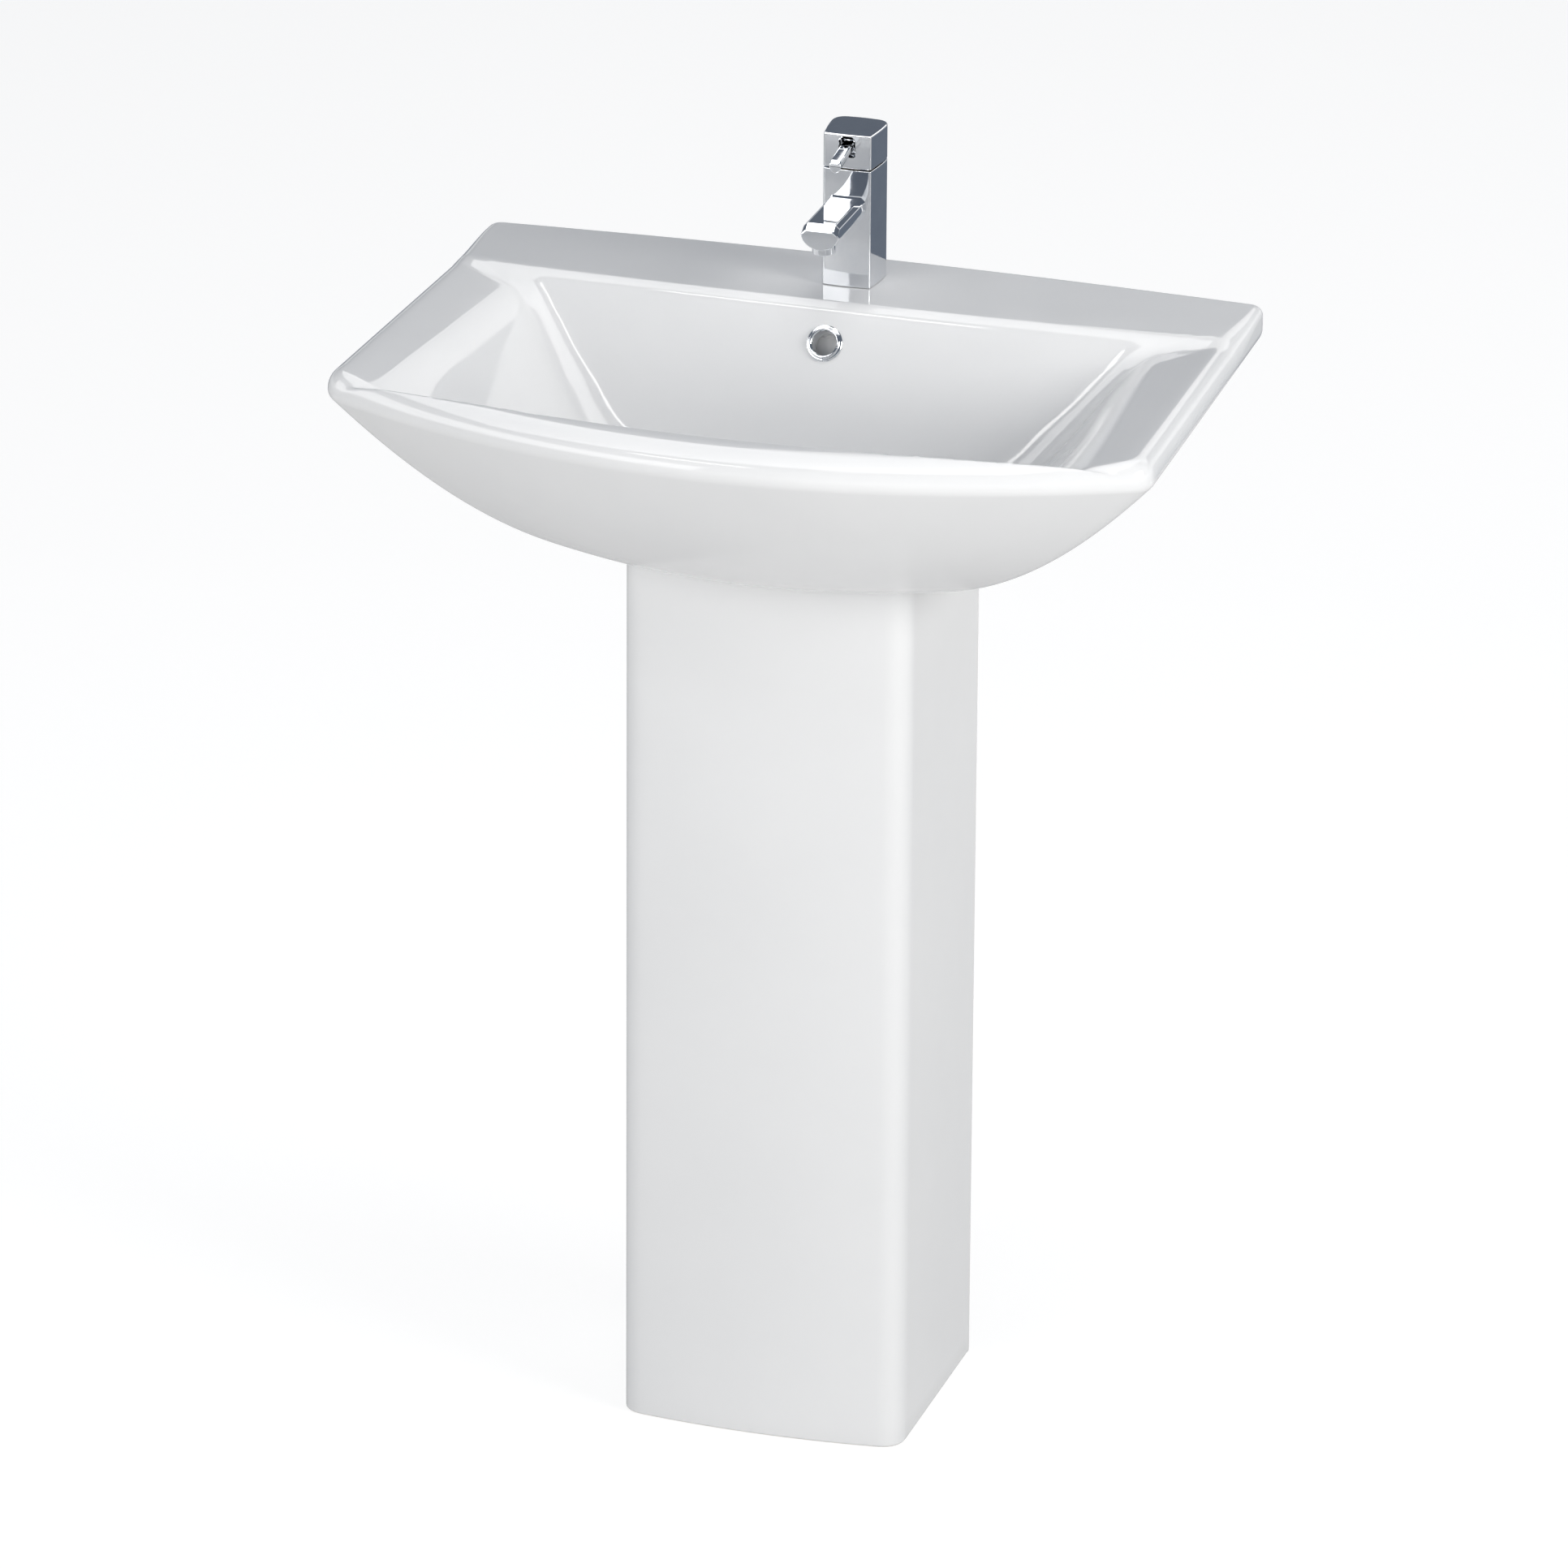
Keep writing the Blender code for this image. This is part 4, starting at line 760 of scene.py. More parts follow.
def middle_of_bowl(y):
    """Point and upward normal of the bowl's surface on the middle line."""
    step = 1e-4
    z, beyond = bowl_height(np.zeros(2), np.array([y, y + step]))
    normal = np.array([0, -(beyond - z) / step, 1.0])
    return np.array([0, y, RIM_Z + z]), normal / np.linalg.norm(normal)


def overflow_channel(centre, normal):
    path = [centre - normal * 0.0165 + np.array([0, 0.0045, 0.0065])]
    for y in (0.088, 0.078, 0.068, 0.058, 0.050):
        point, outward = middle_of_bowl(y)
        path.append(point - outward * 0.0160)
    path += [np.array([0, y, RIM_Z - z]) for y, z in ((0.041, 0.1340), (0.026, 0.1400), (0.006, 0.1430))]
    step = np.gradient(np.array(path), axis=0)
    rings = []
    for point, w in zip(path, step):
        v = np.cross(w / np.linalg.norm(w), [1.0, 0, 0])
        corners = ((-1, -1), (1, -1), (1, 1), (-1, 1))
        rings.append([point + 0.011 * a * np.array([1.0, 0, 0]) + 0.0038 * b * v for a, b in corners])
    return loft("tool", rings)


def build_basin():
    rings = basin_rings((128, 50, 104, 8), 150, 30)
    basin = loft("basin_ware", rings, closed=True, sharp=50)
    centre, normal = middle_of_bowl(OVERFLOW_Y)
    tools = [
        cylinder((0, TAP_Y, RIM_Z + 0.01), (0, 0, -1), TAP_HOLE, 0.05),
        cylinder(tuple(centre + normal * 0.01), tuple(-normal), OVERFLOW_RADIUS, 0.030),
        overflow_channel(centre, normal),
    ]
    for side in (-1, 1):
        at = (side * WALL_FIXING_X, WALL_Y - 0.030, RIM_Z - WALL_FIXING_DROP)
        tools.append(cylinder(at, (0, 1, 0), 0.007, 0.05, 48))
    cut(basin, *tools, sharp=50)
    finish(basin, "ceramic", "sink", "basin")
    basin.data.materials.append(LOOKS["clay"])
    low = RIM_Z - BELLY_DROP + 0.0004
    for face in basin.data.polygons:
        hidden = face.center.z < low and face.normal.z < -0.9
        if hidden or (face.normal.z < -0.9 and face.center.z < RIM_Z - BOSS_DROP + 0.0004):
            face.material_index = 1

    ring = [(0.0088, -0.008), (OVERFLOW_RADIUS - GAP, -0.008), (OVERFLOW_RADIUS - GAP, GAP), (0.0133, GAP),
            (0.0133, 0.0012), (0.0125, 0.0020), (0.0114, 0.0022), (0.0107, 0.0032), (0.0098, 0.0032),
            (0.0088, 0.0022)]
    turned("overflow_trim", "chrome", "overflow_ring", ring, centre, axis=normal, count=128, ease=0.0005)
    sleeve = [(0.0052, 0), (0.0067, 0), (0.0067, 0.0130), (0.0120, 0.0130), (0.0120, 0.0155),
              (0.0052, 0.0155)]
    for side, name in ((-1, "left"), (1, "right")):
        at = (side * WALL_FIXING_X, WALL_Y - GAP, RIM_Z - WALL_FIXING_DROP)
        turned(f"fixing_sleeve_{name}", "white_plastic", f"wall_sleeve_{name}", sleeve, at,
               axis=(0, -1, 0), count=64)


# Pedestal

def build_pedestal():
    half, r = PED_HALF, PED_CORNER

    def front(x):
        return PED_FRONT_Y - PED_BOW * (1 - (x / half) ** 2)

    xs = np.linspace(0, half - r, 30)
    rows = [np.c_[xs, front(xs)]]
    ys = np.linspace(PED_FRONT_Y + r, PED_BACK_Y, 30)
    side = np.c_[np.full(30, half), ys]
    rows.append(bezier(rows[0][-1], np.array([half, PED_FRONT_Y]), side[0], 20)[1:])
    rows.append(side)
    right = np.vstack(rows)
    outer = np.vstack([(right * [-1, 1])[::-1][:-1], right])
    step = np.gradient(outer, axis=0)
    normal = np.c_[step[:, 1], -step[:, 0]]
    normal /= np.linalg.norm(normal, axis=1)[:, None]
    inner = outer - normal * PED_WALL
    inner[0, 1] = inner[-1, 1] = PED_BACK_Y
    plan = np.vstack([outer, inner[::-1]])
    rest = np.array([belly_height(x, y) for x, y in plan])
    top = RIM_Z + rest - np.where(rest <= -BELLY_DROP + 1e-6, GAP, 0.0012)
    shrink = -outward_normals(plan)
    rings = []
    for inset, height in ((0.0018, 0.0), (0.0008, 0.0004), (0.0002, 0.0011), (0.0, 0.0022)):
        rings.append(level(plan + shrink * inset, height))
    for share in np.linspace(0.02, 0.99, 34):
        rings.append(level(plan, 0.0022 + (top - 0.004) * share))
    for inset, drop in ((0.0, 0.0013), (0.0003, 0.0006), (0.0009, 0.0)):
        rings.append(level(plan + shrink * inset, top - drop))
    pedestal = loft("pedestal_ware", rings, sharp=50)
    for side in (-1, 1):
        low_x, high_x = sorted((side * LUG_INNER_X, side * LUG_OUTER_X))
        join(pedestal, box((low_x, LUG_FRONT_Y, 0.0), (high_x, LUG_BACK_Y, LUG_TOP)))
        hole = (side * LUG_HOLE[0], LUG_HOLE[1], -0.01)
        cut(pedestal, cylinder(hole, (0, 0, 1), LUG_HOLE_RADIUS, 0.04, 48), sharp=50)
    finish(pedestal, "ceramic", "sink", "pedestal")
    pedestal.data.materials.append(LOOKS["clay"])
    for face in pedestal.data.polygons:
        if face.center.z < 0.0009:
            face.material_index = 1


# Tap

def tap_plan(shrink=0.0):
    """Plan of the tap: bowed front with crisp corners, bulged sides and a rounded back."""
    half = TAP_HALF_FRONT
    length = TAP_BACK_Y - TAP_FRONT_Y
    xs = np.linspace(-half + 0.0015, half - 0.0015, 25)
    front = np.c_[xs, TAP_FRONT_Y - 0.0008 * (1 - (xs / half) ** 2)]
    share = np.linspace(0.03, 0.72, 25)
    bulge = TAP_BULGE * np.sin(math.pi * (0.10 + 0.62 * share) - 0.3)
    right = np.c_[half + bulge, TAP_FRONT_Y + length * share]
    nose = bezier(front[-1], np.array([half - 0.00005, TAP_FRONT_Y - 0.00005]), right[0], 7)[1:]
    tail = TAP_BACK_Y * np.array([0, 1]) + [[0.0085, 0], [0.0060, 0.0002], [0.0035, 0.0004]]
    back = bezier(right[-1], np.array([right[-1][0] - 0.0003, TAP_BACK_Y]), tail[0], 20)[1:]
    half_plan = np.vstack([nose, right, back, tail])
    plan = np.vstack([front, half_plan, (half_plan * [-1, 1])[::-1]])
    if shrink:
        plan = plan - outward_normals(plan) * shrink
    return plan


def block(name, low, high, low_round, high_round):
    """The tap's plan raised between two heights, with rounded top and bottom edges."""
    turns = np.radians(np.linspace(0, 90, 6))
    rings = []
    for edge, rounding, way, order in ((low, low_round, 1, turns), (high, high_round, -1, turns[::-1])):
        for a in order:
            plan = tap_plan(rounding * (1 - math.sin(a)))
            rings.append(level(plan, edge + way * rounding * (1 - math.cos(a))))
    return loft(name, rings, sharp=40)


def d_section(half_w, half_h, top_drop=0.0, shrink=0.0):
    w, h = half_w - shrink, half_h - shrink
    top = half_h - top_drop - shrink
    upper = [(-0.74 * w, top), (-0.96 * w, top - 0.32 * h), (-w, 0.22 * h)]
    points = []
    for p, q, s in zip([(0, top)] + upper, upper, upper[1:] + [(-w, 0.1 * h)]):
        p, q, s = (np.array(v) for v in (p, q, s))
        a, c = towards(q, p, 0.0007), towards(q, s, 0.0007)
        points += [tuple(curve(a, q, c, t)) for t in (0, 0.33, 0.67, 1)]
    under = []
    for i in range(1, 40):
        a = math.pi + math.pi * i / 40
        under.append((w * math.cos(a), 0.22 * h + 1.22 * h * math.sin(a)))
    return points + under + [(-x, z) for x, z in reversed(points)]


def bar(name, stations):
    rings = []
    for y, z, half_w, half_h, drop, shrink in stations:
        rings.append([(x, y, z + dz) for x, dz in d_section(half_w, half_h, drop, shrink)])
    return loft(name, rings, sharp=30)


def build_tap():
    body = block("tap_casting", RIM_Z + 0.0004, RIM_Z + TAP_PARTING, 0.0005, 0.0005)
    z, w, h = RIM_Z + SPOUT_Z, SPOUT_HALF_W, SPOUT_HALF_H
    join(body, bar("tool", [
        (SPOUT_TIP_Y, z, w, h, 0.0043, 0.0009),
        (SPOUT_TIP_Y + 0.0003, z, w, h, 0.0038, 0.0003),
        (SPOUT_TIP_Y + 0.0008, z, w, h, 0.0034, 0.0),
        (SPOUT_TIP_Y + 0.0046, z, w, h, 0.0003, 0.0),
        (SPOUT_TIP_Y + 0.0056, z, w, h, 0.0, 0.0),
        (TAP_FRONT_Y - 0.010, z, w, h, -0.0002, 0.0),
        (TAP_FRONT_Y - 0.005, z, w + 0.0001, h + 0.0002, -0.0001, 0.0),
        (TAP_FRONT_Y - 0.002, z, w + 0.0004, h + 0.0006, 0.0, 0.0),
        (TAP_FRONT_Y + 0.0015, z, w + 0.0010, h + 0.0013, 0.0, 0.0),
    ]))
    up, seat = (0, 0, 1), tap_plan(0.0009)
    tools = [
        loft("tool", [level(seat, RIM_Z + z) for z in (-0.001, 0.0018)]),
        cylinder((0, TAP_Y, RIM_Z + 0.0460), up, 0.0135, 0.06),
        cylinder((0, TAP_Y - 0.006, z), (0, -1, 0), 0.0042, TAP_Y - 0.006 - AERATOR_Y, 48),
        cylinder((0, AERATOR_Y, RIM_Z + 0.040), up, 0.0086, 0.0225),
        cylinder((0, TAP_Y - 0.010, RIM_Z - 0.001), up, 0.0041, 0.018, 48),
    ]
    for side in (-1, 1):
        socket = (side * TAIL_X, TAIL_Y, RIM_Z - 0.001)
        passage = (side * TAIL_X * 0.8, TAIL_Y - 0.001, RIM_Z + 0.015)
        tools.append(cylinder(socket, up, TAIL_RADIUS + GAP, 0.018, 48))
        tools.append(cylinder(passage, up, 0.0028, 0.035, 32))
    cut(body, *tools)
    even_normals(body)
    finish(body, "chrome", "sink", "tap_body")


def build_tap_fittings():
    outer = tap_plan(0.0013)
    centre = np.array([0, TAP_Y])
    inner = centre + (outer - centre) / np.linalg.norm(outer - centre, axis=1)[:, None] * 0.0158
    flat = [level(plan, RIM_Z + z) for plan, z in (
        (outer, GAP), (outer, 0.0015), (inner, 0.0015), (inner, GAP))]
    finish(loft("tap_gasket", flat, closed=True), "rubber", "sink", "tap_base_seal")

    at = (0, AERATOR_Y, RIM_Z)
    ring = [(0.0071, 0.0440), (0.0079, 0.0440), (0.0083, 0.0445), (0.0083, 0.0530), (0.0073, 0.0530),
            (0.0073, 0.0452), (0.0071, 0.0450)]
    turned("aerator_ring", "chrome", "aerator_housing", ring, at)
    insert = [(0, 0.0462)]
    for r in np.arange(0.0008, 0.0066, 0.0012):
        insert += [(r, 0.0462), (r, 0.0457), (r + 0.0006, 0.0457), (r + 0.0006, 0.0462)]
    insert += [(0.0069, 0.0462), (0.0069, 0.0520), (0, 0.0520)]
    turned("aerator_grid", "grey_plastic", "aerator_insert", insert, at, count=72, ease=0.0001)


def build_cap():
    cap = block("tap_top_block", RIM_Z + CAP_BOTTOM, RIM_Z + CAP_TOP, 0.0005, 0.0009)
    slot_low, slot_high, half = RIM_Z + 0.0980, RIM_Z + 0.1124, 0.0056
    rings = []
    for y, grow in ((TAP_FRONT_Y - 0.004, 0.0006), (TAP_FRONT_Y - 0.0006, 0.0006),
                    (TAP_FRONT_Y + 0.0002, 0.0), (TAP_Y - 0.010, 0.0)):
        x, low, high = half + grow, slot_low - grow, slot_high + grow
        right = [(x - 0.001, low), (x, low + 0.001)]
        for a in np.radians(np.linspace(0, 90, 8)):
            right.append((x - 0.004 * (1 - math.cos(a)), high - 0.004 * (1 - math.sin(a))))
        outline = right + [(-x, z) for x, z in reversed(right)]
        rings.append([(x, y, z) for x, z in outline])
    cut(
        cap,
        cylinder((0, TAP_Y, RIM_Z + 0.0915), (0, 0, 1), 0.0152, 0.0209),
        cylinder((0, TAP_Y, RIM_Z + 0.0850), (0, 0, 1), 0.0096, 0.0075),
        loft("tool", rings),
    )
    even_normals(cap)
    finish(cap, "chrome", "cap", "tap_cap")


def build_lever():
    def lever_z(y):
        return RIM_Z + 0.1038 - 0.149 * (TAP_FRONT_Y - y)

    h, tip = LEVER_HALF, LEVER_TIP_Y
    lever = bar("pin_lever", [
        (tip, lever_z(tip), h, h, 0.0016, 0.0005),
        (tip + 0.0002, lever_z(tip), h, h, 0.0014, 0.00015),
        (tip + 0.0005, lever_z(tip), h, h, 0.0012, 0.0),
        (tip + 0.0018, lever_z(tip + 0.0018), h, h, 0.0002, 0.0),
        (tip + 0.0024, lever_z(tip + 0.0024), h, h, 0.0, 0.0),
        (TAP_FRONT_Y - 0.001, lever_z(TAP_FRONT_Y - 0.001), h, h, 0.0, 0.0),
        (TAP_FRONT_Y + 0.001, lever_z(TAP_FRONT_Y), h, h, 0.0, 0.0),
        (TAP_Y - 0.002, lever_z(TAP_FRONT_Y), h, h, 0.0, 0.0),
    ])
    at = (0, TAP_Y, RIM_Z)
    hub = lathe("tool", band(0, 0.0066, 0.0982, 0.1086), at)
    shield = lathe("shield", band(0, 0.0142, 0.0984, 0.1088), at)
    cut(shield, box((-0.02, TAP_Y - 0.0040, RIM_Z + 0.09), (0.02, TAP_Y + 0.02, RIM_Z + 0.12)))
    join(lever, hub, shield, sharp=30)
    cut(
        lever,
        cylinder((0, TAP_Y, RIM_Z + 0.0950), (0, 0, 1), 0.0038, 0.0115, 48),
        cylinder((0, TAP_Y + 0.0030, RIM_Z + 0.1020), (0, 1, 0), 0.0018, 0.0060, 32), sharp=30,
    )
    even_normals(lever)
    finish(lever, "chrome", "lever", "tap_lever")


def build_tap_fixing():
    y = TAP_Y - 0.010
    thread = [(0, -0.072), (0.0030, -0.072)]
    for z in np.arange(-0.0712, -0.0005, 0.0010):
        thread += [(0.0034, z), (0.0038, z + 0.0003), (0.0038, z + 0.0006)]
    thread += [(0.0038, 0.0150), (0, 0.0150)]
    at = (0, y, RIM_Z)
    turned("threaded_stud", "steel", "tap_stud", thread, at, count=40, ease=0)
    turned("stud_hex_nut", "brass", "stud_nut", band(0.0041, 0.0065, -0.0270, -0.0190), at, hexagon=0.006)
    for name, node, look, low, high, radius in (
            ("horseshoe_seal", "stud_seal", "rubber", -0.0163, -0.0133, 0.0235),
            ("horseshoe_washer", "stud_washer", "steel", -0.0186, -0.0166, 0.0240)):
        washer = lathe(name, band(0, radius, low, high), (0, TAP_Y - 0.001, RIM_Z))
        cut(
            washer,
            box((-0.0140, TAP_Y - 0.0048, RIM_Z - 0.03), (0.0140, TAP_Y + 0.04, RIM_Z)),
            cylinder((0, y, RIM_Z - 0.03), (0, 0, 1), 0.0042, 0.03, 48),
        )
        finish(washer, look, "sink", node)


def build_tails():
    for side, name in ((-1, "hot"), (1, "cold")):
        path = [(side * TAIL_X, TAIL_Y, RIM_Z + z) for z in np.linspace(0.0150, -0.045, 5)]
        for share in np.linspace(0.05, 0.95, 24):
            x = TAIL_X + (TAIL_SPREAD_X - TAIL_X) * eased_step(share)
            path.append((side * x, TAIL_Y, RIM_Z - 0.045 - 0.075 * share))
        path += [(side * TAIL_SPREAD_X, TAIL_Y, RIM_Z + z) for z in np.linspace(-0.125, TAIL_END, 8)]
        rings = tube_rings(path, TAIL_RADIUS, 40) + tube_rings(path, 0.0042, 40)[::-1]
        finish(loft(f"{name}_pipe", rings, closed=True), "copper", "sink", f"{name}_tail")
        nut = [(0.0053, -0.2990), (0.0105, -0.2990), (0.0110, -0.2980), (0.0110, -0.2840), (0.0105, -0.2830),
               (0.0053, -0.2830)]
        at = (side * TAIL_SPREAD_X, TAIL_Y, RIM_Z)
        turned(f"{name}_union", "brass", f"{name}_tail_nut", nut, at, hexagon=0.0105)


# Waste and plug

def build_waste():
    centre = (0, WASTE_Y, RIM_Z)
    profile = [(0.0200, -0.2150), (0.0200, -0.1250), (0.0218, -0.1239), (0.0315, -0.1239),
               (0.0315, -0.1222), (0.0300, -0.1209), (0.0270, -0.1211), (0.0185, -0.1250),
               (0.0170, -0.1300), (0.0170, -0.2150)]
    body = lathe("slotted_waste", profile, centre, count=128, ease=0.0006)
    low, high = RIM_Z - 0.1650, RIM_Z - 0.1600
    join(body, box((-0.0182, WASTE_Y - 0.0030, low), (0.0182, WASTE_Y + 0.0030, high)))
    join(body, lathe("tool", band(0, 0.0075, -0.1650, -0.1600), centre, ease=0))
    cut(
        body,
        cylinder((0, WASTE_Y, RIM_Z - 0.18), (0, 0, 1), 0.0050, 0.03, 48),
        box((-0.0080, WASTE_Y - 0.03, RIM_Z - 0.1480), (0.0080, WASTE_Y + 0.03, RIM_Z - 0.1385)),
    )
    finish(body, "chrome", "sink", "waste_body")
    seal = [(0.0203, -0.1683), (0.0300, -0.1683), (0.0300, -0.1650), (0.0285, -0.1633), (0.0203, -0.1633)]
    turned("cone_seal", "rubber", "waste_bottom_seal", seal, centre)
    nut = band(0.0203, 0.0280, -0.1786, -0.1686)
    turned("back_nut", "brass", "waste_nut", nut, centre, hexagon=0.0275, ease=0.0005)
    dome = [(0, -0.1050), (0.0080, -0.1051), (0.0150, -0.1053), (0.0210, -0.1057), (0.0260, -0.1063),
            (0.0305, -0.1075), (0.0315, -0.1086), (0.0310, -0.1095), (0.0293, -0.1095), (0.0293, -0.1080),
            (0.0237, -0.1080), (0.0237, -0.1120), (0.0220, -0.1120), (0.0200, -0.1090), (0.0060, -0.1090),
            (0.0060, -0.1180), (0.0028, -0.1180), (0.0028, -0.1075), (0, -0.1075)]
    turned("plug_dome", "chrome", "plug_cap", dome, centre, "plug", count=128, ease=0.0005)
    ring = band(0.0240, 0.0290, -0.1119, -0.1083)
    turned("plug_ring", "rubber", "plug_seal", ring, centre, "plug", ease=0.0008)


# Bottle trap

def build_trap():
    centre = (0, WASTE_Y, RIM_Z)
    nut = [(0.0170, -0.2239), (0.0262, -0.2239), (0.0270, -0.2225), (0.0270, -0.2045), (0.0260, -0.2030),
           (0.0203, -0.2030), (0.0203, -0.2209), (0.0170, -0.2209)]
    plastic = "white_plastic"
    turned("inlet_coupling", plastic, "trap_inlet_nut", nut, centre, hexagon=0.0258, ease=0.0006)
    profile = [(0.0197, -0.2176), (0.0197, -0.2206), (0.0166, -0.2206), (0.0166, -0.2290), (0.0210, -0.2315),
               (0.0270, -0.2345), (0.0298, -0.2380), (0.0300, -0.2420), (0.0300, -0.2900), (0.0272, -0.2900),
               (0.0272, -0.2420), (0.0245, -0.2375), (0.0140, -0.2325), (0.0140, -0.2176)]
    trap = lathe("bottle_head", profile, centre, count=128, ease=0.0009)
    back, outlet_z = (0, 1, 0), RIM_Z - OUTLET_DROP
    arm = band(0, 0.0190, 0, 0.080 - WASTE_Y - 0.0205)
    join(trap, lathe("tool", arm, (0, WASTE_Y + 0.0205, outlet_z), back, ease=0.0006))
    cut(trap, cylinder((0, WASTE_Y + 0.0150, outlet_z), back, 0.0165, 0.09))
    finish(trap, plastic, "sink", "trap_body")
    cup = [(0.0340, -0.2720), (0.0340, -0.3440), (0.0320, -0.3530), (0.0265, -0.3595), (0.0160, -0.3635),
           (0, -0.3645), (0, -0.3615), (0.0150, -0.3600), (0.0230, -0.3560), (0.0264, -0.3510),
           (0.0274, -0.3440), (0.0274, -0.2936), (0.0303, -0.2936), (0.0303, -0.2720)]
    turned("bottle_cup", plastic, "trap_cup", cup, centre, count=128, ease=0.0012)
    out_at = (0, 0, outlet_z)
    turned("outlet_pipe", plastic, "waste_pipe", band(0.0143, 0.0160, 0.0620, WALL_Y), out_at, axis=back)
    nut = [(0.0193, 0.0680), (0.0245, 0.0680), (0.0250, 0.0690), (0.0250, 0.0855), (0.0240, 0.0866),
           (0.0163, 0.0866), (0.0163, 0.0836), (0.0193, 0.0836)]
    turned("outlet_coupling", plastic, "trap_outlet_nut", nut, out_at, axis=back, hexagon=0.0240,
           ease=0.0006)


def dress_hidden_nodes():
    """The nodes kept from the CAD model, each with its own kind of surface."""
    kept = {
        "brass": ("cartridge_nut", "plug_guide", "plug_stem"),
        "steel": ("lever_screw", "cartridge_stem", "plug_spring"),
        "rubber": ("cartridge_seal", "waste_top_seal", "trap_inlet_washer", "cup_seal",
                   "trap_outlet_washer"),
        "white_plastic": ("dip_tube",),
        "grey_plastic": ("cartridge_housing",),
        "disc": ("fixed_disc", "moving_disc"),
    }
    for look, names in kept.items():
        for name in names:
            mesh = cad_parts[name].data
            mesh.materials.clear()
            mesh.materials.append(LOOKS[look])


# Stage

def plain(name, colour, roughness, glow):
    look = Look(name, colour, 0.0, roughness)
    look.mottled(tuple(c * 0.99 for c in colour), colour, 0.3, 0.7, 1.5, 2, 0.5)
    look.shader.inputs["Emission Color"].default_value = (1, 1, 1, 1)
    look.shader.inputs["Emission Strength"].default_value = glow
    return look.made


def sheet(name, corners, material):
    mesh = bpy.data.meshes.new(name)
    mesh.from_pydata(corners, [], [(0, 1, 2, 3)])
    made = bpy.data.objects.new(name, mesh)
    scene.collection.objects.link(made)
    mesh.materials.append(material)
    return made


def build_stage():
    """Pale floor, a dimmer one under it that only lights the sink, and cards seen only as reflections."""
    w = FLOOR_HALF
    for name, depth, glow in (("floor", 0.0004, FLOOR_GLOW), ("bounce_floor", 0.0012, BOUNCE_GLOW)):
        corners = [(-w, -w, -depth), (w, -w, -depth), (w, w, -depth), (-w, w, -depth)]
        floor = sheet(name, corners, plain(f"pale_{name}", (0.27, 0.27, 0.27), 0.9, glow))
        seen = name == "floor"
        floor.visible_camera = seen
        floor.visible_diffuse = floor.visible_glossy = floor.visible_shadow = not seen
    dark = plain("dark_card", (0.05, 0.06, 0.075), 0.8, 0.0)
    glow = dark.node_tree.nodes["Principled BSDF"].inputs
    glow["Emission Color"].default_value = (0.10, 0.12, 0.155, 1)
    glow["Emission Strength"].default_value = DARK_CARD_GLOW
    for i, (left, right) in enumerate((((-0.05, 1.62), (1.75, 1.20)), ((-1.75, 1.20), (-0.10, 1.62)))):
        upright_card(f"card_{i}", left, right, 0.16, 0.80, dark)
    pale = plain("pale_card", (0.8, 0.8, 0.8), 0.8, CARD_GLOW)
    turns = np.radians(WRAP_ANGLES)
    bends = [(WRAP_RADIUS * math.sin(a), -0.2 - WRAP_RADIUS * math.cos(a)) for a in turns]
    for i, (left, right) in enumerate(zip(bends, bends[1:])):
        upright_card(f"card_wrap_{i}", left, right, 0.95, 2.60, pale)
    corners = [(-2.0, -0.9, 2.8), (0.8, -0.9, 2.8), (0.8, 2.0, 2.8), (-2.0, 2.0, 2.8)]
    reflected_only(sheet("card_top", corners, pale))


def upright_card(name, left, right, low, high, material):
    reflected_only(sheet(name, [(*left, low), (*right, low), (*right, high), (*left, high)], material))


def reflected_only(card):
    card.visible_camera = card.visible_diffuse = card.visible_shadow = False


def softbox(name, at, towards, size, power, reflects=True):
    light = bpy.data.lights.new(name, "AREA")
    light.shape = "RECTANGLE"
    light.size, light.size_y = size
    light.energy = power
    light.color = WARM
    lamp = bpy.data.objects.new(name, light)
    lamp.location = at
    lamp.rotation_euler = (Vector(towards) - Vector(at)).to_track_quat("-Z", "Y").to_euler()
    lamp.visible_glossy = reflects
    scene.collection.objects.link(lamp)


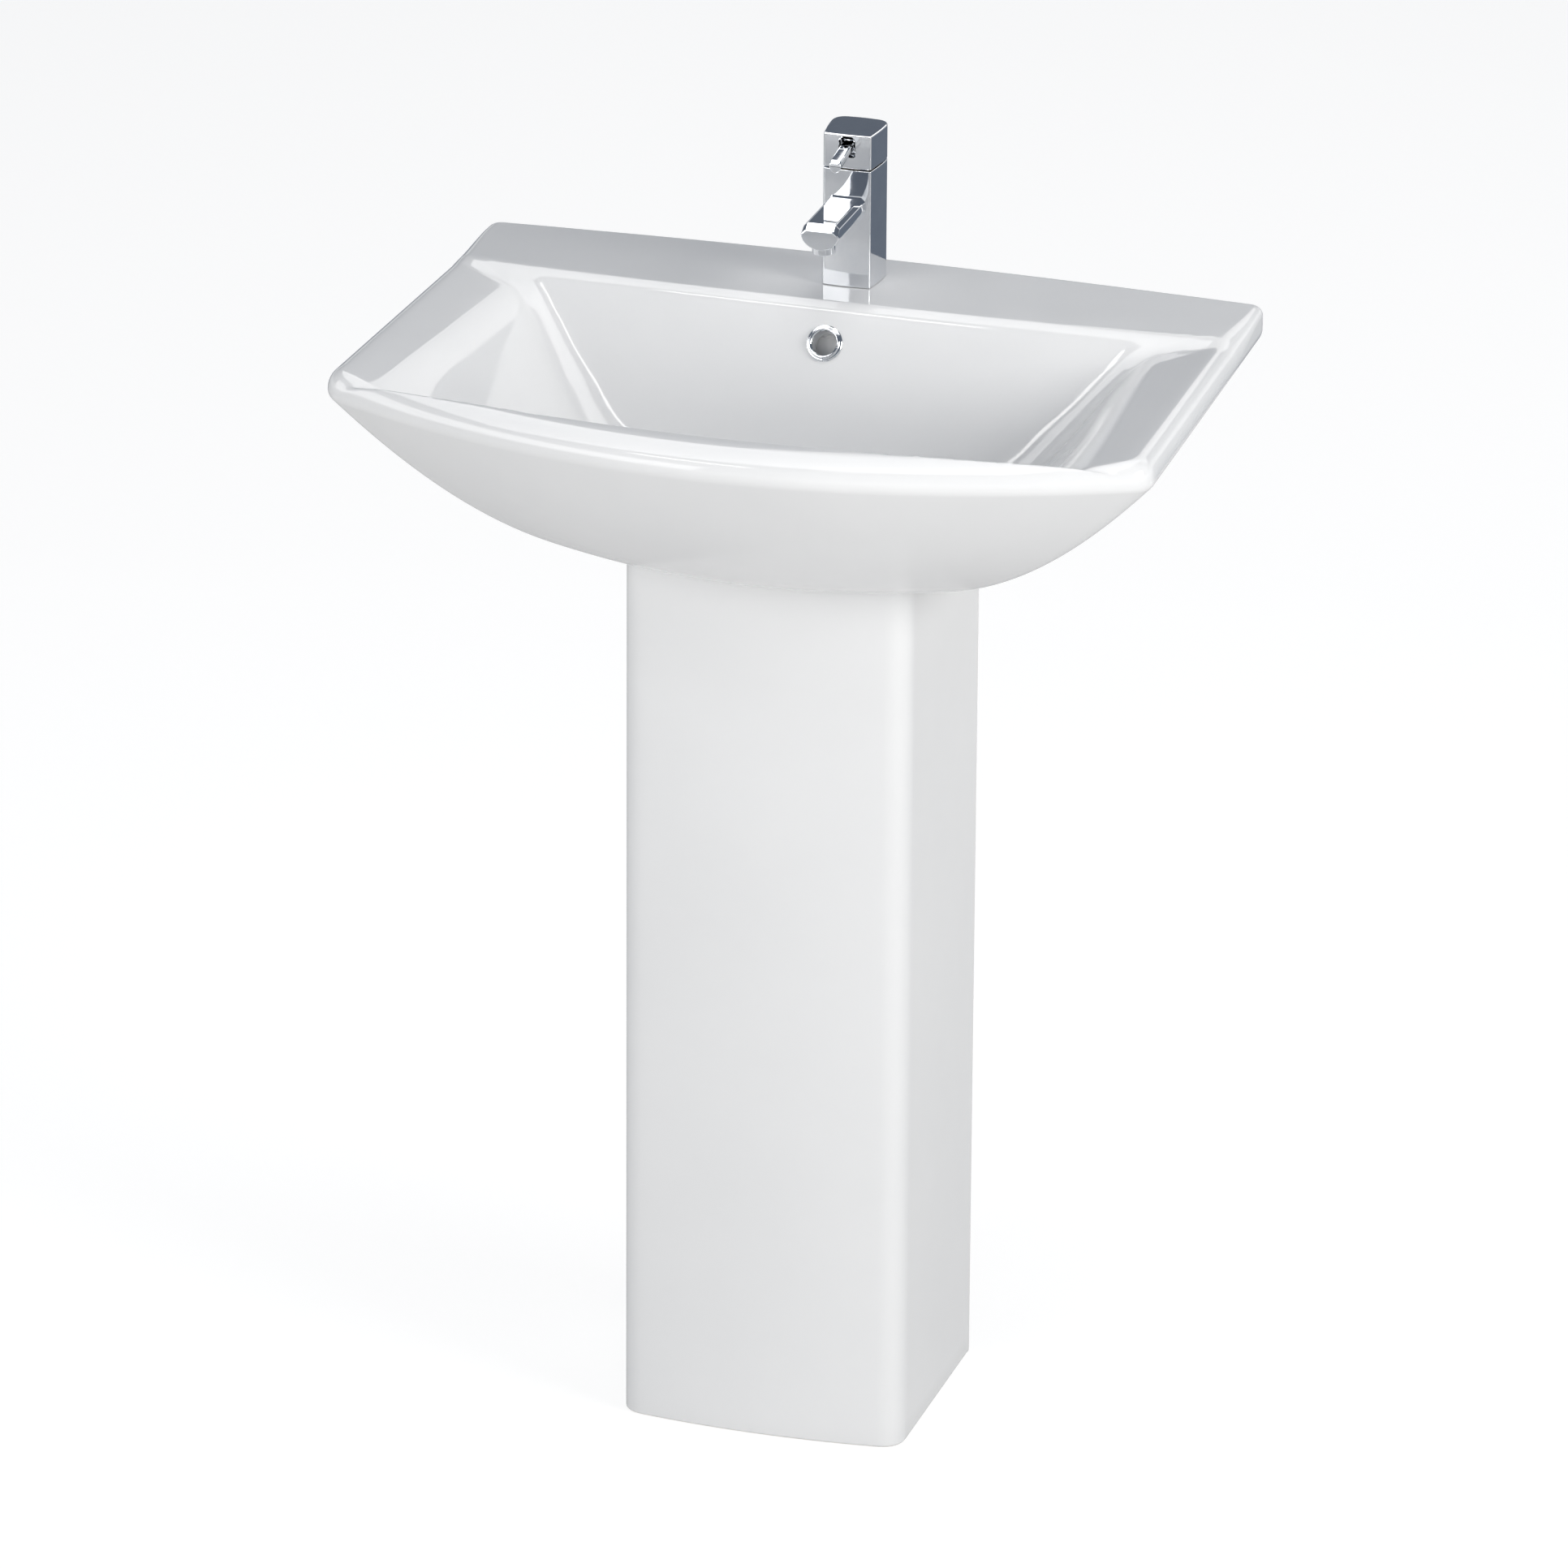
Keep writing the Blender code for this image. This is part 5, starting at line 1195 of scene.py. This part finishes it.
def build_world():
    """Pale at the horizon, slate above, so that chrome has something dark to show."""
    world = bpy.data.worlds.new("studio")
    world.use_nodes = True
    nodes, links = world.node_tree.nodes, world.node_tree.links
    place = nodes.new("ShaderNodeTexCoord")
    split = nodes.new("ShaderNodeSeparateXYZ")
    ramp = nodes.new("ShaderNodeMapRange")
    ramp.interpolation_type = "SMOOTHSTEP"
    ramp.inputs["From Min"].default_value = 0.10
    ramp.inputs["From Max"].default_value = 0.24
    mix = nodes.new("ShaderNodeMix")
    mix.data_type = "RGBA"
    mix.inputs[6].default_value = (*HORIZON, 1)
    mix.inputs[7].default_value = (*SLATE, 1)
    links.new(place.outputs["Generated"], split.inputs[0])
    links.new(split.outputs["Z"], ramp.inputs["Value"])
    links.new(ramp.outputs["Result"], mix.inputs["Factor"])
    links.new(mix.outputs[2], nodes["Background"].inputs["Color"])
    nodes["Background"].inputs["Strength"].default_value = 1.0
    scene.world = world


def build_light():
    build_world()
    softbox("key", (-1.20, -2.80, 2.00), (0, 0, 0.80), (2.3, 1.5), 28, False)
    softbox("strip", (-0.82, -1.62, 3.00), (0, 0.1, 0.80), (0.9, 0.16), 3.6)
    softbox("front", (1.1, -4.2, 1.2), (0, 0, 0.5), (1.8, 1.6), 42, False)
    softbox("overhead", (0.3, -0.4, 3.6), (0, 0, 0.6), (1.6, 1.6), 17)
    softbox("right", (2.9, -0.9, 1.9), (0, 0, 0.8), (1.4, 1.4), 57)
    softbox("rear", (0.6, 3.0, 3.1), (0, 0, 0.7), (3.4, 2.0), 32)


def build_camera():
    az, el, roll = (math.radians(a) for a in CAMERA_TURN)
    back = Vector((math.sin(az) * math.cos(el), -math.cos(az) * math.cos(el), math.sin(el)))
    right = Vector((math.cos(az), math.sin(az), 0))
    up = back.cross(right)
    at = Vector(CAMERA_TARGET) + right * CAMERA_SHIFT[0] + up * CAMERA_SHIFT[1] + back * CAMERA_DISTANCE
    turned_right = right * math.cos(roll) + up * math.sin(roll)
    turned_up = up * math.cos(roll) - right * math.sin(roll)
    data = bpy.data.cameras.new("camera")
    data.sensor_width = 36
    data.lens = CAMERA_LENS
    data.clip_start, data.clip_end = 0.1, 60
    camera = bpy.data.objects.new("camera", data)
    axes = Matrix((turned_right, turned_up, back)).transposed()
    camera.matrix_world = Matrix.Translation(at) @ axes.to_4x4()
    scene.collection.objects.link(camera)
    scene.camera = camera


build_camera()
build_basin()
build_pedestal()
build_tap()
build_tap_fittings()
build_cap()
build_lever()
build_tap_fixing()
build_tails()
build_waste()
build_trap()
dress_hidden_nodes()
build_stage()
build_light()
scene.view_settings.view_transform = "Standard"
scene.view_settings.look = "None"
